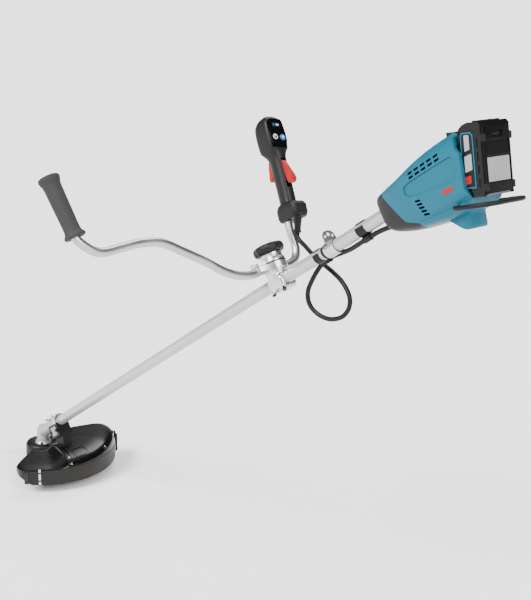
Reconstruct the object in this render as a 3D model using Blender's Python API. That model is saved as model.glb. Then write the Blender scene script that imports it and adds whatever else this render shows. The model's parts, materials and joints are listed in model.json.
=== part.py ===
"""Battery brush cutter with a wide two-hand bar: 1.9 m long, held on its harness hook.

World frame, metres: +X runs back along the machine towards the battery, +Y is the machine's
right-hand side (control grip), +Z is up.  The origin is the hook hole of the harness hanger.
Sizes below are millimetres; MM turns them into metres where points are made.
"""
import math
import bpy
import bmesh
from mathutils import Matrix, Vector

MM = 0.001

# driving dimensions
SHAFT_TILT = 33.5                       # shaft above the horizontal, degrees
TUBE_R, TUBE_WALL = 14.0, 1.6
TUBE_FRONT, TUBE_REAR = -1150.0, 386.0  # stations along the shaft, from the handle clamp
GEAR_S = -1195.0                        # where the output axis crosses the shaft axis
HANGER_S, HOOK_H = 187.5, 31.0          # harness plate station and height of its hook hole
BAR_R, BAR_WALL = 9.75, 1.8
BAR_S, BAR_H = -15.0, 36.5              # handlebar axis inside its clamp
GUARD_R = 212.0                         # outer radius of the guard about the output axis
GUARD_FROM, GUARD_TO = -57.0, 74.0      # sweep of the guard, degrees about +Z from +X
SEAM_Z, SKIRT_Z = -36.0, -82.0          # lower edge of guard and of its skirt, from the shaft crossing
HEAD_R, HEAD_TOP, HEAD_BOTTOM = 52.0, -45.0, -88.0
LINE_REACH, LINE_Z = 201.0, -66.0
GRIP_R_BASE = (2.0, 111.7, 174.4)       # foot of the control grip, shaft frame
GRIP_L_BASE = (-6.2, -473.0, 177.0)     # foot of the plain grip
GRIP_LEAN, GRIP_BACK = 0.1385, 0.063    # outward and rearward lean of the grips per unit height
PACK_LEAN = 23.0                        # battery axis behind the shaft normal, degrees
PACK_S, PACK_H = 550.1, -51.0           # front lower corner of the battery bay, shaft frame
PACK_L, PACK_W, PACK_T = 132.0, 80.0, 84.0
CABLE_R, CABLE_H = 4.75, -22.6          # cable radius; its height where it lies under the tube
FINE, MID, LOW = 24, 16, 12              # sides of large, middling and small round pieces
PINION_TEETH, WHEEL_TEETH = 12, 16

ST, CT = math.sin(math.radians(SHAFT_TILT)), math.cos(math.radians(SHAFT_TILT))
U, N, Y = Vector((CT, 0, ST)), Vector((-ST, 0, CT)), Vector((0, 1, 0))
CLAMP = -(U * HANGER_S + N * HOOK_H) * MM       # crossing of clamp axis and shaft axis


def at(s, y, h):
    """World point of a shaft-frame point: along the shaft, to the right, along its normal."""
    return CLAMP + (U * s + Y * y + N * h) * MM


def frame(origin, x, z):
    """Rigid frame at a world point with the given x and z directions."""
    z = Vector(z).normalized()
    x = Vector(x)
    x = (x - z * x.dot(z)).normalized()
    m = Matrix((x, z.cross(x), z)).transposed().to_4x4()
    m.translation = origin
    return m


SHAFT = frame(at(0, 0, 0), U, N)                           # x along the shaft, z along its normal
ALONG = frame(at(0, 0, 0), -N, U)                          # z along the shaft
DRIVE = frame(at(GEAR_S, 0, 0), -N, U)                     # as ALONG, from the gear crossing
GEAR = frame(at(GEAR_S, 0, 0), (1, 0, 0), (0, 0, 1))       # vertical output axis
PACK_Z = (N * math.cos(math.radians(PACK_LEAN)) + U * math.sin(math.radians(PACK_LEAN)))
PACK_X = (U * math.cos(math.radians(PACK_LEAN)) - N * math.sin(math.radians(PACK_LEAN)))
PACK = frame(at(PACK_S, 0, PACK_H), PACK_X, PACK_Z)
GRIP_R = frame(at(*GRIP_R_BASE), U, U * GRIP_BACK + Y * GRIP_LEAN + N)
GRIP_L = frame(at(*GRIP_L_BASE), U, U * GRIP_BACK - Y * GRIP_LEAN + N)

for old in list(bpy.data.objects):
    bpy.data.objects.remove(old, do_unlink=True)

FINISHES = {}


def finish(name, colour, rough, metal=0.0):
    """One Principled material per node, made from a shared recipe."""
    FINISHES[name] = (colour, rough, metal)


finish("tube", (0.62, 0.60, 0.56), 0.38, 0.6)
finish("bright", (0.66, 0.65, 0.63), 0.24, 0.9)
finish("cast", (0.52, 0.53, 0.52), 0.42, 0.3)
finish("steel", (0.42, 0.42, 0.43), 0.32, 0.9)
finish("dark_steel", (0.05, 0.05, 0.055), 0.4, 0.7)
finish("teal", (0.012, 0.23, 0.29), 0.42)
finish("grey", (0.05, 0.048, 0.047), 0.5)
finish("soft", (0.055, 0.053, 0.052), 0.75)
finish("black", (0.012, 0.012, 0.013), 0.22)
finish("matte_black", (0.02, 0.02, 0.021), 0.55)
finish("skirt", (0.045, 0.038, 0.034), 0.5)
finish("red", (0.55, 0.02, 0.02), 0.4)
finish("blue", (0.02, 0.16, 0.34), 0.35)
finish("white", (0.7, 0.7, 0.72), 0.4)
finish("copper", (0.45, 0.16, 0.07), 0.35, 0.9)
finish("nylon", (0.75, 0.76, 0.72), 0.35)


def material(name, recipe):
    colour, rough, metal = FINISHES[recipe]
    mat = bpy.data.materials.new(name)
    mat.use_nodes = True
    bsdf = mat.node_tree.nodes["Principled BSDF"]
    bsdf.inputs["Base Color"].default_value = (*colour, 1)
    bsdf.inputs["Roughness"].default_value = rough
    bsdf.inputs["Metallic"].default_value = metal
    return mat


def mesh_object(name, verts, faces, place):
    """Object holding a closed mesh; verts are millimetres in the frame `place`."""
    data = bpy.data.meshes.new(name)
    data.from_pydata([tuple(c * MM for c in v) for v in verts], [], faces)
    bm = bmesh.new()
    bm.from_mesh(data)
    bmesh.ops.remove_doubles(bm, verts=bm.verts, dist=1e-6)
    bmesh.ops.recalc_face_normals(bm, faces=bm.faces)
    bm.to_mesh(data)
    bm.free()
    obj = bpy.data.objects.new(name, data)
    bpy.context.scene.collection.objects.link(obj)
    obj.matrix_world = place
    bpy.context.view_layer.update()
    return obj


def lathe(name, profile, place, steps=FINE, ribs=None):
    """Turn a closed (radius, z) profile about the frame's z axis; ribs(i, r, z) may move a point."""
    verts, faces = [], []
    for i in range(steps):
        a = 2 * math.pi * i / steps
        for r, z in profile:
            rr, zz = ribs(i, r, z) if ribs else (r, z)
            verts.append((rr * math.cos(a), rr * math.sin(a), zz))
    n = len(profile)
    for i in range(steps):
        j = (i + 1) % steps
        for k in range(n):
            m = (k + 1) % n
            ring = [i * n + k, j * n + k, j * n + m, i * n + m]
            if profile[k][0] == 0 and profile[m][0] == 0:
                continue
            if profile[k][0] == 0:
                ring = [i * n + k, j * n + m, i * n + m]
            elif profile[m][0] == 0:
                ring = [i * n + k, j * n + k, i * n + m]
            faces.append(ring)
    return mesh_object(name, verts, faces, place)


def rod(name, r, z0, z1, place, steps=MID, edge=0.0):
    """Solid round bar along the frame's z axis, with an optional edge chamfer."""
    if edge:
        profile = [(0, z0), (r - edge, z0), (r, z0 + edge), (r, z1 - edge), (r - edge, z1), (0, z1)]
    else:
        profile = [(0, z0), (r, z0), (r, z1), (0, z1)]
    return lathe(name, profile, place, steps)


def drill(r, z0, z1, place, steps=LOW):
    """Round cutter, turned a little so that its corners miss those of the work."""
    return rod("drill", r, z0, z1, place @ Matrix.Rotation(math.radians(4), 4, "Z"), steps)


def ring(name, r_in, r_out, z0, z1, place, steps=FINE):
    return lathe(name, [(r_in, z0), (r_out, z0), (r_out, z1), (r_in, z1)], place, steps)


def loft(name, rings, place):
    """Skin a run of equal-length rings and cap both ends."""
    n = len(rings[0])
    verts = [p for r in rings for p in r]
    faces = [[i * n + k, (i + 1) * n + k, (i + 1) * n + (k + 1) % n, i * n + (k + 1) % n]
             for i in range(len(rings) - 1) for k in range(n)]
    faces += [list(range(n)), list(range((len(rings) - 1) * n, len(rings) * n))]
    return mesh_object(name, verts, faces, place)


def prism(name, outline, y0, y1, place):
    """Outline of (x, z) points drawn through y0..y1."""
    return loft(name, [[(x, y, z) for x, z in outline] for y in (y0, y1)], place)


def post(name, outline, z0, z1, place):
    """Outline of (x, y) points drawn through z0..z1."""
    return loft(name, [[(x, y, z) for x, y in outline] for z in (z0, z1)], place)


def block(name, xs, ys, zs, place, edge=0.0):
    """Box with optional chamfered edges."""
    obj = post(name, [(xs[0], ys[0]), (xs[1], ys[0]), (xs[1], ys[1]), (xs[0], ys[1])], *zs, place)
    if edge:
        bm = bmesh.new()
        bm.from_mesh(obj.data)
        bmesh.ops.bevel(bm, geom=list(bm.edges), offset=edge * MM, segments=2, profile=0.5,
                        affect="EDGES")
        bm.to_mesh(obj.data)
        bm.free()
    return obj


def smooth_path(points, step):
    """Catmull-Rom points through hand-set route points, about `step` apart."""
    pts = [Vector(p) for p in points]
    ext = [pts[0] * 2 - pts[1]] + pts + [pts[-1] * 2 - pts[-2]]
    out = []
    for i in range(1, len(ext) - 2):
        p0, p1, p2, p3 = ext[i - 1:i + 3]
        n = max(1, round((p2 - p1).length / step))
        for k in range(n):
            t = k / n
            out.append(0.5 * (p1 * 2 + (p2 - p0) * t + (p0 * 2 - p1 * 5 + p2 * 4 - p3) * t * t
                              + (p1 * 3 - p0 - p2 * 3 + p3) * t ** 3))
    return out + [pts[-1]]


def sweep(name, path, radius, place, steps=14, bore=None):
    """Round bar, or tube when bore is given, along a path of points; radius may be a function."""
    pts = [Vector(p) for p in path]
    tangents = [(pts[min(i + 1, len(pts) - 1)] - pts[max(i - 1, 0)]).normalized()
                for i in range(len(pts))]
    side = tangents[0].orthogonal().normalized()
    loops = {"out": [], "in": []}
    for i, (p, t) in enumerate(zip(pts, tangents)):
        side = (side - t * side.dot(t)).normalized()
        up = t.cross(side)
        r_out = radius(i / (len(pts) - 1)) if callable(radius) else radius
        for key, r in (("out", r_out), ("in", bore)):
            if r:
                loops[key].append([tuple(p + (side * math.cos(a) + up * math.sin(a)) * r)
                                   for a in (2 * math.pi * k / steps for k in range(steps))])
    if not bore:
        return loft(name, loops["out"], place)
    rings = loops["out"] + loops["in"][::-1]
    verts = [p for r in rings for p in r]
    count = len(rings)
    faces = [[i * steps + k, ((i + 1) % count) * steps + k,
              ((i + 1) % count) * steps + (k + 1) % steps, i * steps + (k + 1) % steps]
             for i in range(count) for k in range(steps)]
    return mesh_object(name, verts, faces, place)


def combine(target, tools, kind):
    """Apply exact booleans to the target and drop the tools."""
    for tool in tools:
        mod = target.modifiers.new(kind, "BOOLEAN")
        mod.operation = kind
        mod.solver = "EXACT"
        mod.object = tool
        bpy.context.view_layer.update()
        data = bpy.data.meshes.new_from_object(
            target.evaluated_get(bpy.context.evaluated_depsgraph_get()))
        target.modifiers.clear()
        target.data = data
        bpy.data.objects.remove(tool, do_unlink=True)
    bm = bmesh.new()
    bm.from_mesh(target.data)
    bmesh.ops.remove_doubles(bm, verts=bm.verts, dist=1e-6)
    bm.to_mesh(target.data)
    bm.free()
    return target


def cut(target, *tools):
    return combine(target, tools, "DIFFERENCE")


def keep(target, *tools):
    return combine(target, tools, "INTERSECT")


def join(target, *tools):
    return combine(target, tools, "UNION")


NODES = []


def node(obj, recipe, smooth=35.0):
    """Name, paint and shade a finished piece."""
    obj.data.name = obj.name
    obj.data.materials.clear()
    obj.data.materials.append(material(obj.name, recipe))
    for poly in obj.data.polygons:
        poly.material_index = 0
        poly.use_smooth = smooth > 0
    if smooth > 0:
        bm = bmesh.new()
        bm.from_mesh(obj.data)
        for edge in bm.edges:
            edge.smooth = not (len(edge.link_faces) == 2
                               and edge.calc_face_angle(0) > math.radians(smooth))
        bm.to_mesh(obj.data)
        bm.free()
    NODES.append(obj)
    return obj


# ---------------------------------------------------------------- shaft and gear case
FLANGE_SCREWS = ((17, -17), (-17, 17))


def cap_screw(name, place, r, span, shank_r, shank_end):
    """Socket-head screw pointing down the frame's z axis."""
    low, high = span
    profile = [(0, shank_end), (shank_r, shank_end), (shank_r, low), (r, low), (r, high - 0.6),
               (r - 0.6, high), (0, high)]
    screw = lathe(name, profile, place, LOW)
    node(cut(screw, rod("socket", r * 0.46, high - 2.0, high + 1.0, place, 6)), "dark_steel")


def shaft_and_gear_case():
    node(ring("shaft_tube", TUBE_R - TUBE_WALL, TUBE_R, TUBE_FRONT, TUBE_REAR, ALONG), "tube")
    for i, s in enumerate((-760, -200)):
        node(ring(f"shaft_bushing_{i + 1}", 4.4, TUBE_R - TUBE_WALL - 0.3, s - 12, s + 12, ALONG, MID),
             "soft")

    # dome over the bevel gears, sleeve over the tube end, one casting
    case = lathe("gear_case", [(0, 23), (9, 22), (14.5, 18), (17.5, 11), (18, 0), (18.5, -24),
                               (0, -24)], GEAR)
    sleeve = lathe("sleeve", [(0, 0), (17, 0), (18.5, 26), (17.4, 34), (17.2, 100), (16, 103),
                              (0, 103)], DRIVE)
    case = join(case, sleeve)
    room = lathe("room", [(0, 17), (9, 15), (14.6, 8), (15.2, 0), (15.2, -30), (0, -30)], GEAR, MID)
    bore = rod("bore", TUBE_R + 0.3, 42, 140, DRIVE, FINE)
    throat = rod("throat", 11.2, 2, 60, DRIVE)
    case = cut(case, room, bore, throat)
    node(case, "cast")

    flange = lathe("gear_flange", [(15.6, -24.3), (18.5, -24.3), (21, -27), (24, -31), (28.5, -38),
                                   (29, -43.2), (6.5, -43.2), (6.5, -39), (15.6, -36)], GEAR)
    tops = [lathe("boss", [(0, -44), (4.6, -44), (4.6, -29), (0, -29)],
                  GEAR @ Matrix.Translation(Vector((x * MM, y * MM, 0))), LOW)
            for x, y in FLANGE_SCREWS]
    flange = cut(flange, *tops)
    node(flange, "cast")
    for i, (x, y) in enumerate(FLANGE_SCREWS):
        place = GEAR @ Matrix.Translation(Vector((x * MM, y * MM, 0)))
        cap_screw(f"flange_screw_{i + 1}", place, 4.2, (-36.0, -29.6), 2.4, -42.6)


# ---------------------------------------------------------------- drive line
def bevel(name, place, teeth, cone, span, way, bore, hub, lead):
    """Toothed pitch cone (half angle, apex at the frame's origin) with a hub behind it."""
    sine, cosine = math.sin(math.radians(cone)), math.cos(math.radians(cone))
    pitch = [(d * sine, way * d * cosine) for d in span]

    def ribs(i, r, z):
        lift = 0.4 if (i + lead) % 2 else -1.0
        return (r + lift * cosine, z - way * lift * sine) if (r, z) in pitch else (r, z)
    (r0, z0), (r1, z1) = pitch
    hub_r, hub_z = hub
    return lathe(name, [(bore, z0 + way * 0.9), (r0, z0), (r1, z1), (r1 - 1, z1 + way * 3.2),
                        (hub_r, z1 + way * 4), (hub_r, hub_z), (bore, hub_z)],
                 place, teeth * 2, ribs)


def drive_line():
    node(rod("drive_shaft", 4.0, 5.6, -GEAR_S + 478, DRIVE, LOW), "steel")
    angle = math.radians(90 + SHAFT_TILT)               # between the two gear axes
    ratio = WHEEL_TEETH / PINION_TEETH
    pinion_cone = math.degrees(math.atan2(math.sin(angle), ratio + math.cos(angle)))
    node(bevel("pinion", DRIVE, PINION_TEETH, pinion_cone, (8.8, 13.6), 1, 4.15, (6.8, 20), 0),
         "steel", 20)
    node(bevel("bevel_wheel", GEAR, WHEEL_TEETH, 90 + SHAFT_TILT - pinion_cone, (9.3, 13.2), -1, 4.4,
               (8.0, -14), 1), "steel", 20)
    node(lathe("output_spindle", [(0, -71), (4.2, -71), (4.2, -44.5), (6.1, -44), (6.1, -15),
                                  (4.2, -14.6), (4.2, -2.4), (0, -2.4)], GEAR, LOW), "steel")
    rotor = lathe("motor_rotor", [(4.15, 402), (21.5, 402), (22.6, 403), (22.6, 447), (21.5, 448),
                                  (4.15, 448)], ALONG, MID)
    node(rotor, "dark_steel")


# ---------------------------------------------------------------- cutting head
def cutting_head():
    top, low = HEAD_TOP, HEAD_BOTTOM
    body = lathe("head_body", [(4.5, top - 1), (20, top), (36, top - 3), (47, top - 9),
                               (HEAD_R, top - 17), (HEAD_R, low + 16), (HEAD_R - 3, low + 12),
                               (HEAD_R - 5, low + 12), (HEAD_R - 5, top - 18), (44, top - 12.5),
                               (34, top - 6.5), (20, top - 4), (4.5, top - 4)], GEAR)
    slots = [block("eye", (30, 60), (-3.4, 3.4), (LINE_Z - 3.4, LINE_Z + 3.4),
                   GEAR @ Matrix.Rotation(math.radians(a), 4, "Z")) for a in (46, 226)]
    node(cut(body, *slots), "grey")
    cover = lathe("head_cover", [(HEAD_R - 3.4, low + 11.4), (HEAD_R - 1.4, low + 8),
                                 (HEAD_R - 8, low), (26, low), (26, low + 3), (HEAD_R - 10, low + 3.4),
                                 (HEAD_R - 7, low + 11.4)], GEAR)
    node(cover, "grey")
    spool = lathe("line_spool", [(6, top - 8), (38, top - 9.5), (38, top - 12.5), (20, top - 13),
                                 (20, low + 16), (38, low + 15.5), (38, low + 12.5), (6, low + 12.5)],
                  GEAR, MID)
    node(spool, "matte_black")
    bump = lathe("bump_knob", [(0, low - 16), (13, low - 15), (21, low - 9), (24.6, low - 1),
                               (24.6, low + 5), (27.6, low + 6), (27.6, low + 9), (0, low + 9)],
                 GEAR, MID)
    node(bump, "matte_black")
    for i, a in enumerate((226, 46)):
        place = GEAR @ Matrix.Rotation(math.radians(a), 4, "Z")
        path = [(x, 0, LINE_Z - 9.0 * ((x - 41) / 162.0) ** 2 * 0.35)
                for x in (41, 60, 85, 110, 135, 160, 182, LINE_REACH)]
        node(sweep(f"nylon_line_{i + 1}", path, 1.3, place, 6), "nylon")


# ---------------------------------------------------------------- guard
def top_z(a):
    """Height of the guard's top above the shaft crossing at sweep angle a."""
    stops = ((-57, -19), (-25, -13), (8, -5), (36, 0), (74, -2))
    for (a0, z0), (a1, z1) in zip(stops, stops[1:]):
        if a <= a1:
            t = (a - a0) / (a1 - a0)
            return z0 + (z1 - z0) * t
    return stops[-1][1]


def end_pull(a):
    """How far the guard's rim draws in towards the ends of its sweep."""
    first = 26.0 * (1 - min((a - GUARD_FROM) / 11.0, 1.0)) ** 2
    return max(first, 4.5 * (1 - min((GUARD_TO - a) / 9.0, 1.0)) ** 2)


def guard_section(a):
    """Closed (radius, z) section of the guard shell; it draws in at both ends of the sweep."""
    t = top_z(a)
    r = GUARD_R - end_pull(a)
    inner = 88.0 + (16.0 * max(0.0, (a - 20.0) / 54.0))
    outer = [(inner, t - 9), (inner + 8, t - 2.5), (inner + 26, t), (r - 48, t - 0.5),
             (r - 25, t - 5), (r - 9, t - 13), (r - 1.5, (t - 13 + SEAM_Z) / 2), (r, SEAM_Z)]
    inside = [(r - 3, SEAM_Z), (r - 4.4, (t - 13 + SEAM_Z) / 2 - 1), (r - 11.4, t - 15),
              (r - 26, t - 8), (r - 48, t - 3.5), (inner + 26, t - 3), (inner + 9.6, t - 5.4),
              (inner + 2.6, t - 10.4)]
    return outer + inside


def polar(section, a):
    c, s = math.cos(math.radians(a)), math.sin(math.radians(a))
    return [(r * c, r * s, z) for r, z in section]


def guard():
    angles = [GUARD_FROM + (GUARD_TO - GUARD_FROM) * k / 24 for k in range(25)]
    shell = loft("guard_shell", [polar(guard_section(a), a) for a in angles], GEAR)
    node(shell, "black", 40)

    def strip(a):
        r = GUARD_R - end_pull(a)
        low = SKIRT_Z + 38.0 * (1 - min((a - GUARD_FROM) / 15.0, 1.0)) ** 1.2
        return [(r + 1.4, SEAM_Z - 0.5), (r + 1.0, (SEAM_Z + low) / 2), (r - 1.0, low),
                (r - 3.6, low), (r - 1.6, (SEAM_Z + low) / 2), (r - 1.2, SEAM_Z - 0.5)]
    skirt = loft("guard_skirt", [polar(strip(a), a) for a in angles], GEAR)
    node(skirt, "skirt", 40)

    turn = GEAR @ Matrix.Rotation(math.radians(-46.0), 4, "Z")
    blade = post("line_cutter", [(GUARD_R + 1.9, -6), (GUARD_R + 3.3, -6), (GUARD_R + 3.3, 6),
                                 (GUARD_R + 1.9, 6)], -84.0, -40.0, turn)
    edge = post("edge", [(GUARD_R - 6.5, -2), (GUARD_R + 2.6, -5.5), (GUARD_R + 2.6, 5.5)],
                -85.6, -83.4, turn)
    node(join(blade, edge), "bright", 0)

    # bracket saddle under the gear-case sleeve, gusset down to the guard, two cross screws
    saddle = block("guard_bracket", (-1124, -1077), (-21, 21), (-43, -4), SHAFT, 2.0)
    gusset = prism("gusset", [(-1120, -30), (-1078, -20), (-1042, -17), (-1036, -40), (-1052, -78),
                              (-1098, -70), (-1122, -44)], -16, 16, SHAFT)
    bracket = join(saddle, gusset)
    room = rod("room", 18.0, -1200, -1090.5, ALONG, FINE)
    room2 = rod("room2", TUBE_R + 0.4, -1095, -1000, ALONG, FINE)
    clear = loft("clear", [polar([(r, z + dz) for (r, z), dz in
                                  zip(guard_section(a)[:8], (0.3,) * 8)]
                                 + [(GUARD_R, -120), (60, -120)], a)
                           for a in (-30, -20, -10, 0, 10, 20, 30)], GEAR)
    holes = [rod("hole", 2.9, -24, 24, frame(at(s, 0, -24), U, Y), LOW) for s in (-1116, -1085)]
    node(cut(bracket, room, room2, clear, *holes), "black", 30)
    for i, s in enumerate((-1116, -1085)):
        cap_screw(f"bracket_screw_{i + 1}", frame(at(s, 0, -24), U, -Y), 4.4, (21.4, 26.4), 2.6, -18)


# ---------------------------------------------------------------- handle clamp
SCREWS = ((-17, -18.5), (21, -18.5))          # near side; the far side of the cap hooks on


def handle_clamp():
    tube_room = [rod("room", TUBE_R + 0.3, -60, 60, ALONG, FINE) for _ in range(2)]
    cap = block("clamp_cap", (-24, 28), (-24, 24), (-23, -1.2), SHAFT, 2.5)
    holes = [rod("hole", 2.9, -30, 2, SHAFT @ Matrix.Translation(Vector((x * MM, y * MM, 0))), 12)
             for x, y in SCREWS]
    node(cut(cap, tube_room[0], *holes), "bright", 30)
    base = block("clamp_base", (-24, 28), (-24, 24), (-0.8, 17), SHAFT, 2.5)
    base = join(base, lathe("disc", [(0, 8), (24, 12), (28, 20), (28, 24.8), (0, 24.8)], SHAFT))
    holes = [rod("hole", 2.9, -2, 12, SHAFT @ Matrix.Translation(Vector((x * MM, y * MM, 0))), 12)
             for x, y in SCREWS]
    node(cut(base, tube_room[1], rod("bore", 4.4, 10, 30, SHAFT, LOW), *holes), "bright", 30)
    for i, (x, y) in enumerate(SCREWS):
        place = SHAFT @ Matrix.Translation(Vector((x * MM, y * MM, 0)))
        cap_screw(f"clamp_screw_{i + 1}", place @ Matrix.Rotation(math.pi, 4, "X"), 4.5, (23.3, 28.4),
                  2.6, -10.5)

    # the two jaws that hold the bar and turn with it
    def ear(name, z0, z1):
        outline = [(-33, -14), (-31, -46), (-24, -51), (-6, -51), (1, -46), (8, -20), (8, -14)]
        return post(name, outline, z0, z1, SHAFT)
    path = bar_path()
    middle = [p for p in path if abs(p[1]) < 95 and p[2] < 80]
    groove = [sweep("groove", middle, BAR_R + 0.35, SHAFT) for _ in range(2)]
    bolt = SHAFT @ Matrix.Translation(Vector((-28.5 * MM, -38 * MM, 0)))
    low = join(lathe("bar_jaw_lower", [(0, 25.2), (28, 25.2), (28.6, 28), (28.6, 42.8), (0, 42.8)],
                     SHAFT), ear("ear", 30, 42.8))
    node(cut(low, groove[0], rod("bore", 4.4, 20, 50, SHAFT, LOW), rod("hole", 2.6, 25, 50, bolt, LOW)),
         "bright", 30)
    high = join(lathe("bar_jaw_upper", [(0, 43.6), (28.4, 43.6), (28.4, 50), (25.5, 54), (25.5, 64),
                                        (24, 65.4), (0, 65.4)], SHAFT), ear("ear", 43.6, 50.5))
    node(cut(high, groove[1], rod("bore", 4.4, 20, 70, SHAFT, LOW), rod("hole", 2.6, 40, 55, bolt, LOW)),
         "bright", 30)
    cap_screw("jaw_screw", bolt, 4.2, (50.8, 55.4), 2.3, 31)


def clamp_knob():
    def grip(i, r, z):
        return (r - 1.6 if r > 30 and i % 4 == 0 else r), z
    knob = lathe("clamp_knob", [(0, 78), (12, 78), (16, 86.4), (30.5, 85.4), (35, 82), (36, 78),
                                (35.4, 69), (32.5, 66.2), (4, 66.2), (4, 15.5), (0, 15.5)],
                 SHAFT, 36, grip)
    node(knob, "grey", 25)


# ---------------------------------------------------------------- handlebar
BAR_ROUTE = [(-8, -446, 147), (-8.4, -420, 139), (-8.3, -376, 142), (-8.1, -331, 145),
             (-8.3, -288, 142), (-9, -261, 133), (-10.6, -226, 112), (-12.3, -176, 81),
             (-14, -137, 53), (-15, -101, 36.5), (-15, -63, 31), (-15, -30, 35.8), (-15, 0, 36.5),
             (-15, 40, 36.5), (-15, 62, 39), (-14.4, 81, 47.5), (-13.4, 92, 64), (-12, 95.5, 84),
             (-10.6, 95, 104), (-9, 97, 124), (-5, 103, 148), (0.5, 109.6, 168), (2, 112.2, 180),
             (3.4, 115.0, 200)]


def bar_path():
    """Whole run of the bar; its left end follows the plain grip's own axis."""
    base, lean = Vector(GRIP_L_BASE), Vector((GRIP_BACK, -GRIP_LEAN, 1.0))
    return smooth_path([base + lean * t for t in (126, 66, 36, 12, -4)] + BAR_ROUTE, 26)


def handlebar():
    node(sweep("handlebar", bar_path(), BAR_R, SHAFT, LOW, BAR_R - BAR_WALL), "bright")

    grip = lathe("plain_grip", [(BAR_R + 0.4, 1), (21, 1), (23.4, 3.5), (22.5, 8), (18.2, 13), (17.2, 26),
                                (18, 62), (18.6, 100), (19.4, 118), (22.8, 126), (23.2, 131), (20, 135),
                                (0, 136.5), (0, 129), (BAR_R + 0.4, 129)], GRIP_L, MID)
    node(grip, "soft")


# ---------------------------------------------------------------- control grip
def egg(x0, x1, w, power=2.6, count=24, drop=0.0):
    """Rounded section between x0 and x1 with half width w."""
    pts = []
    for k in range(count):
        a = 2 * math.pi * (k + 0.5) / count
        c, s = math.cos(a), math.sin(a)
        x = math.copysign(abs(c) ** (2 / power), c)
        y = math.copysign(abs(s) ** (2 / power), s)
        pts.append(((x0 + x1) / 2 + (x1 - x0) / 2 * x, w * y + drop))
    return pts


GRIP_STATIONS = [(0.4, -20, 20, 18, 2.4), (12, -19.5, 20, 17.6, 2.3), (70, -20, 20.5, 17.6, 2.3),
                 (104, -20.5, 20.5, 18, 2.3), (118, -24, 20.5, 20, 2.6), (128, -29, 21, 24, 3.2),
                 (145, -30, 21.5, 28.5, 4.0), (165, -29, 21.5, 30, 4.5), (190, -25, 20, 27.5, 4.2),
                 (207, -19, 17, 23, 3.2), (215, -11, 11, 16, 2.6)]


def control_grip():
    def skin(name, inset, lo, hi):
        rings = []
        for z, x0, x1, w, p in GRIP_STATIONS:
            if lo <= z <= hi:
                rings.append([(x, y, z - (inset if z > 210 else 0))
                              for x, y in egg(x0 + inset, x1 - inset, w - inset, p)])
        return loft(name, rings, GRIP_R)
    body = skin("control", 0.0, 0, 220)
    hollow = skin("hollow", 2.6, 60, 208)
    socket = sweep("socket", [tuple(GRIP_R.inverted() @ at(*p) / MM) for p in
                              ((-9, 97, 124), (-5, 103, 148), (0.5, 109.6, 168), (2, 112.2, 180),
                               (3.4, 115, 201))], BAR_R + 0.4, GRIP_R)
    trigger_slot = block("slot", (-40, -4), (-6.6, 6.6), (62, 122), GRIP_R)
    lever_slot = block("slot", (4, 40), (-7.6, 7.6), (36, 108), GRIP_R)
    panel_seat = block("seat", (17.4, 40), (-24, 24), (134, 206), GRIP_R)
    body = cut(body, hollow, socket, trigger_slot, lever_slot, panel_seat)
    half = body.copy()
    half.data = body.data.copy()
    bpy.context.scene.collection.objects.link(half)
    body.name, half.name = "control_shell_left", "control_shell_right"
    keep(body, block("left", (-90, 90), (-60, -0.15), (-20, 260), GRIP_R))
    keep(half, block("right", (-90, 90), (0.15, 60), (-20, 260), GRIP_R))
    node(body, "grey")
    node(half, "grey")

    panel = loft("control_panel", [[(x, y, z) for y, z in
                                    [(-17, 134.4), (17, 134.4), (23.6, 152), (23.6, 172), (20, 200),
                                     (15, 205.6), (-15, 205.6), (-20, 200), (-23.6, 172),
                                     (-23.6, 152)]] for x in (17.8, 22.6)], GRIP_R)
    wells = [rod("well", 8.3, 0, 30, button_frame(y, 159)) for y in (-11.5, 11.5)]
    window = block("window", (16, 30), (-11.6, 11.6), (184.4, 197.6), GRIP_R)
    node(cut(panel, *wells, window), "black", 30)
    node(block("indicator_window", (17.9, 21.6), (-11.2, 11.2), (184.8, 197.2), GRIP_R), "blue", 0)

    # foot block that clamps the control grip to the bar and lets the cable out
    foot = post("control_foot", egg(-27, 40, 23, 5.0, 28), -52, -0.2, GRIP_R)
    top_chamfer = block("trim", (26, 60), (-40, 40), (-60, 20),
                        GRIP_R @ Matrix.Translation(Vector((36 * MM, 0, 8 * MM)))
                        @ Matrix.Rotation(math.radians(-30), 4, "Y"))
    bar_room = sweep("room", [tuple(GRIP_R.inverted() @ at(*p) / MM) for p in
                              ((-12, 95.5, 84), (-10.6, 95, 104), (-9, 97, 124), (-5, 103, 148),
                               (0.5, 109.6, 168), (2, 112.2, 180), (3, 114, 192))],
                     BAR_R + 0.4, GRIP_R)
    gland_room = rod("gland", 7.4, -10, 60, STRAIN)
    node(cut(foot, top_chamfer, bar_room, gland_room), "grey", 30)
    cup = lathe("cable_gland", [(0, 0), (7.0, 0), (7.0, 23), (8.3, 24), (8.3, 27), (7.2, 28), (7.2, 30),
                                (8.0, 31.5), (6.2, 44), (0, 44)], STRAIN, MID)
    node(cup, "soft")


def button_frame(y, z):
    """Frame at a panel button, z axis pointing out of the panel."""
    x_axis = GRIP_R.to_3x3() @ Vector((1, 0, 0))
    z_axis = GRIP_R.to_3x3() @ Vector((0, 0, 1))
    return frame(GRIP_R @ (Vector((0, y, z)) * MM), z_axis, x_axis)


STRAIN = frame(at(35, 95, 137), (1, 0, 0), (0, 0, -1))


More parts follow.
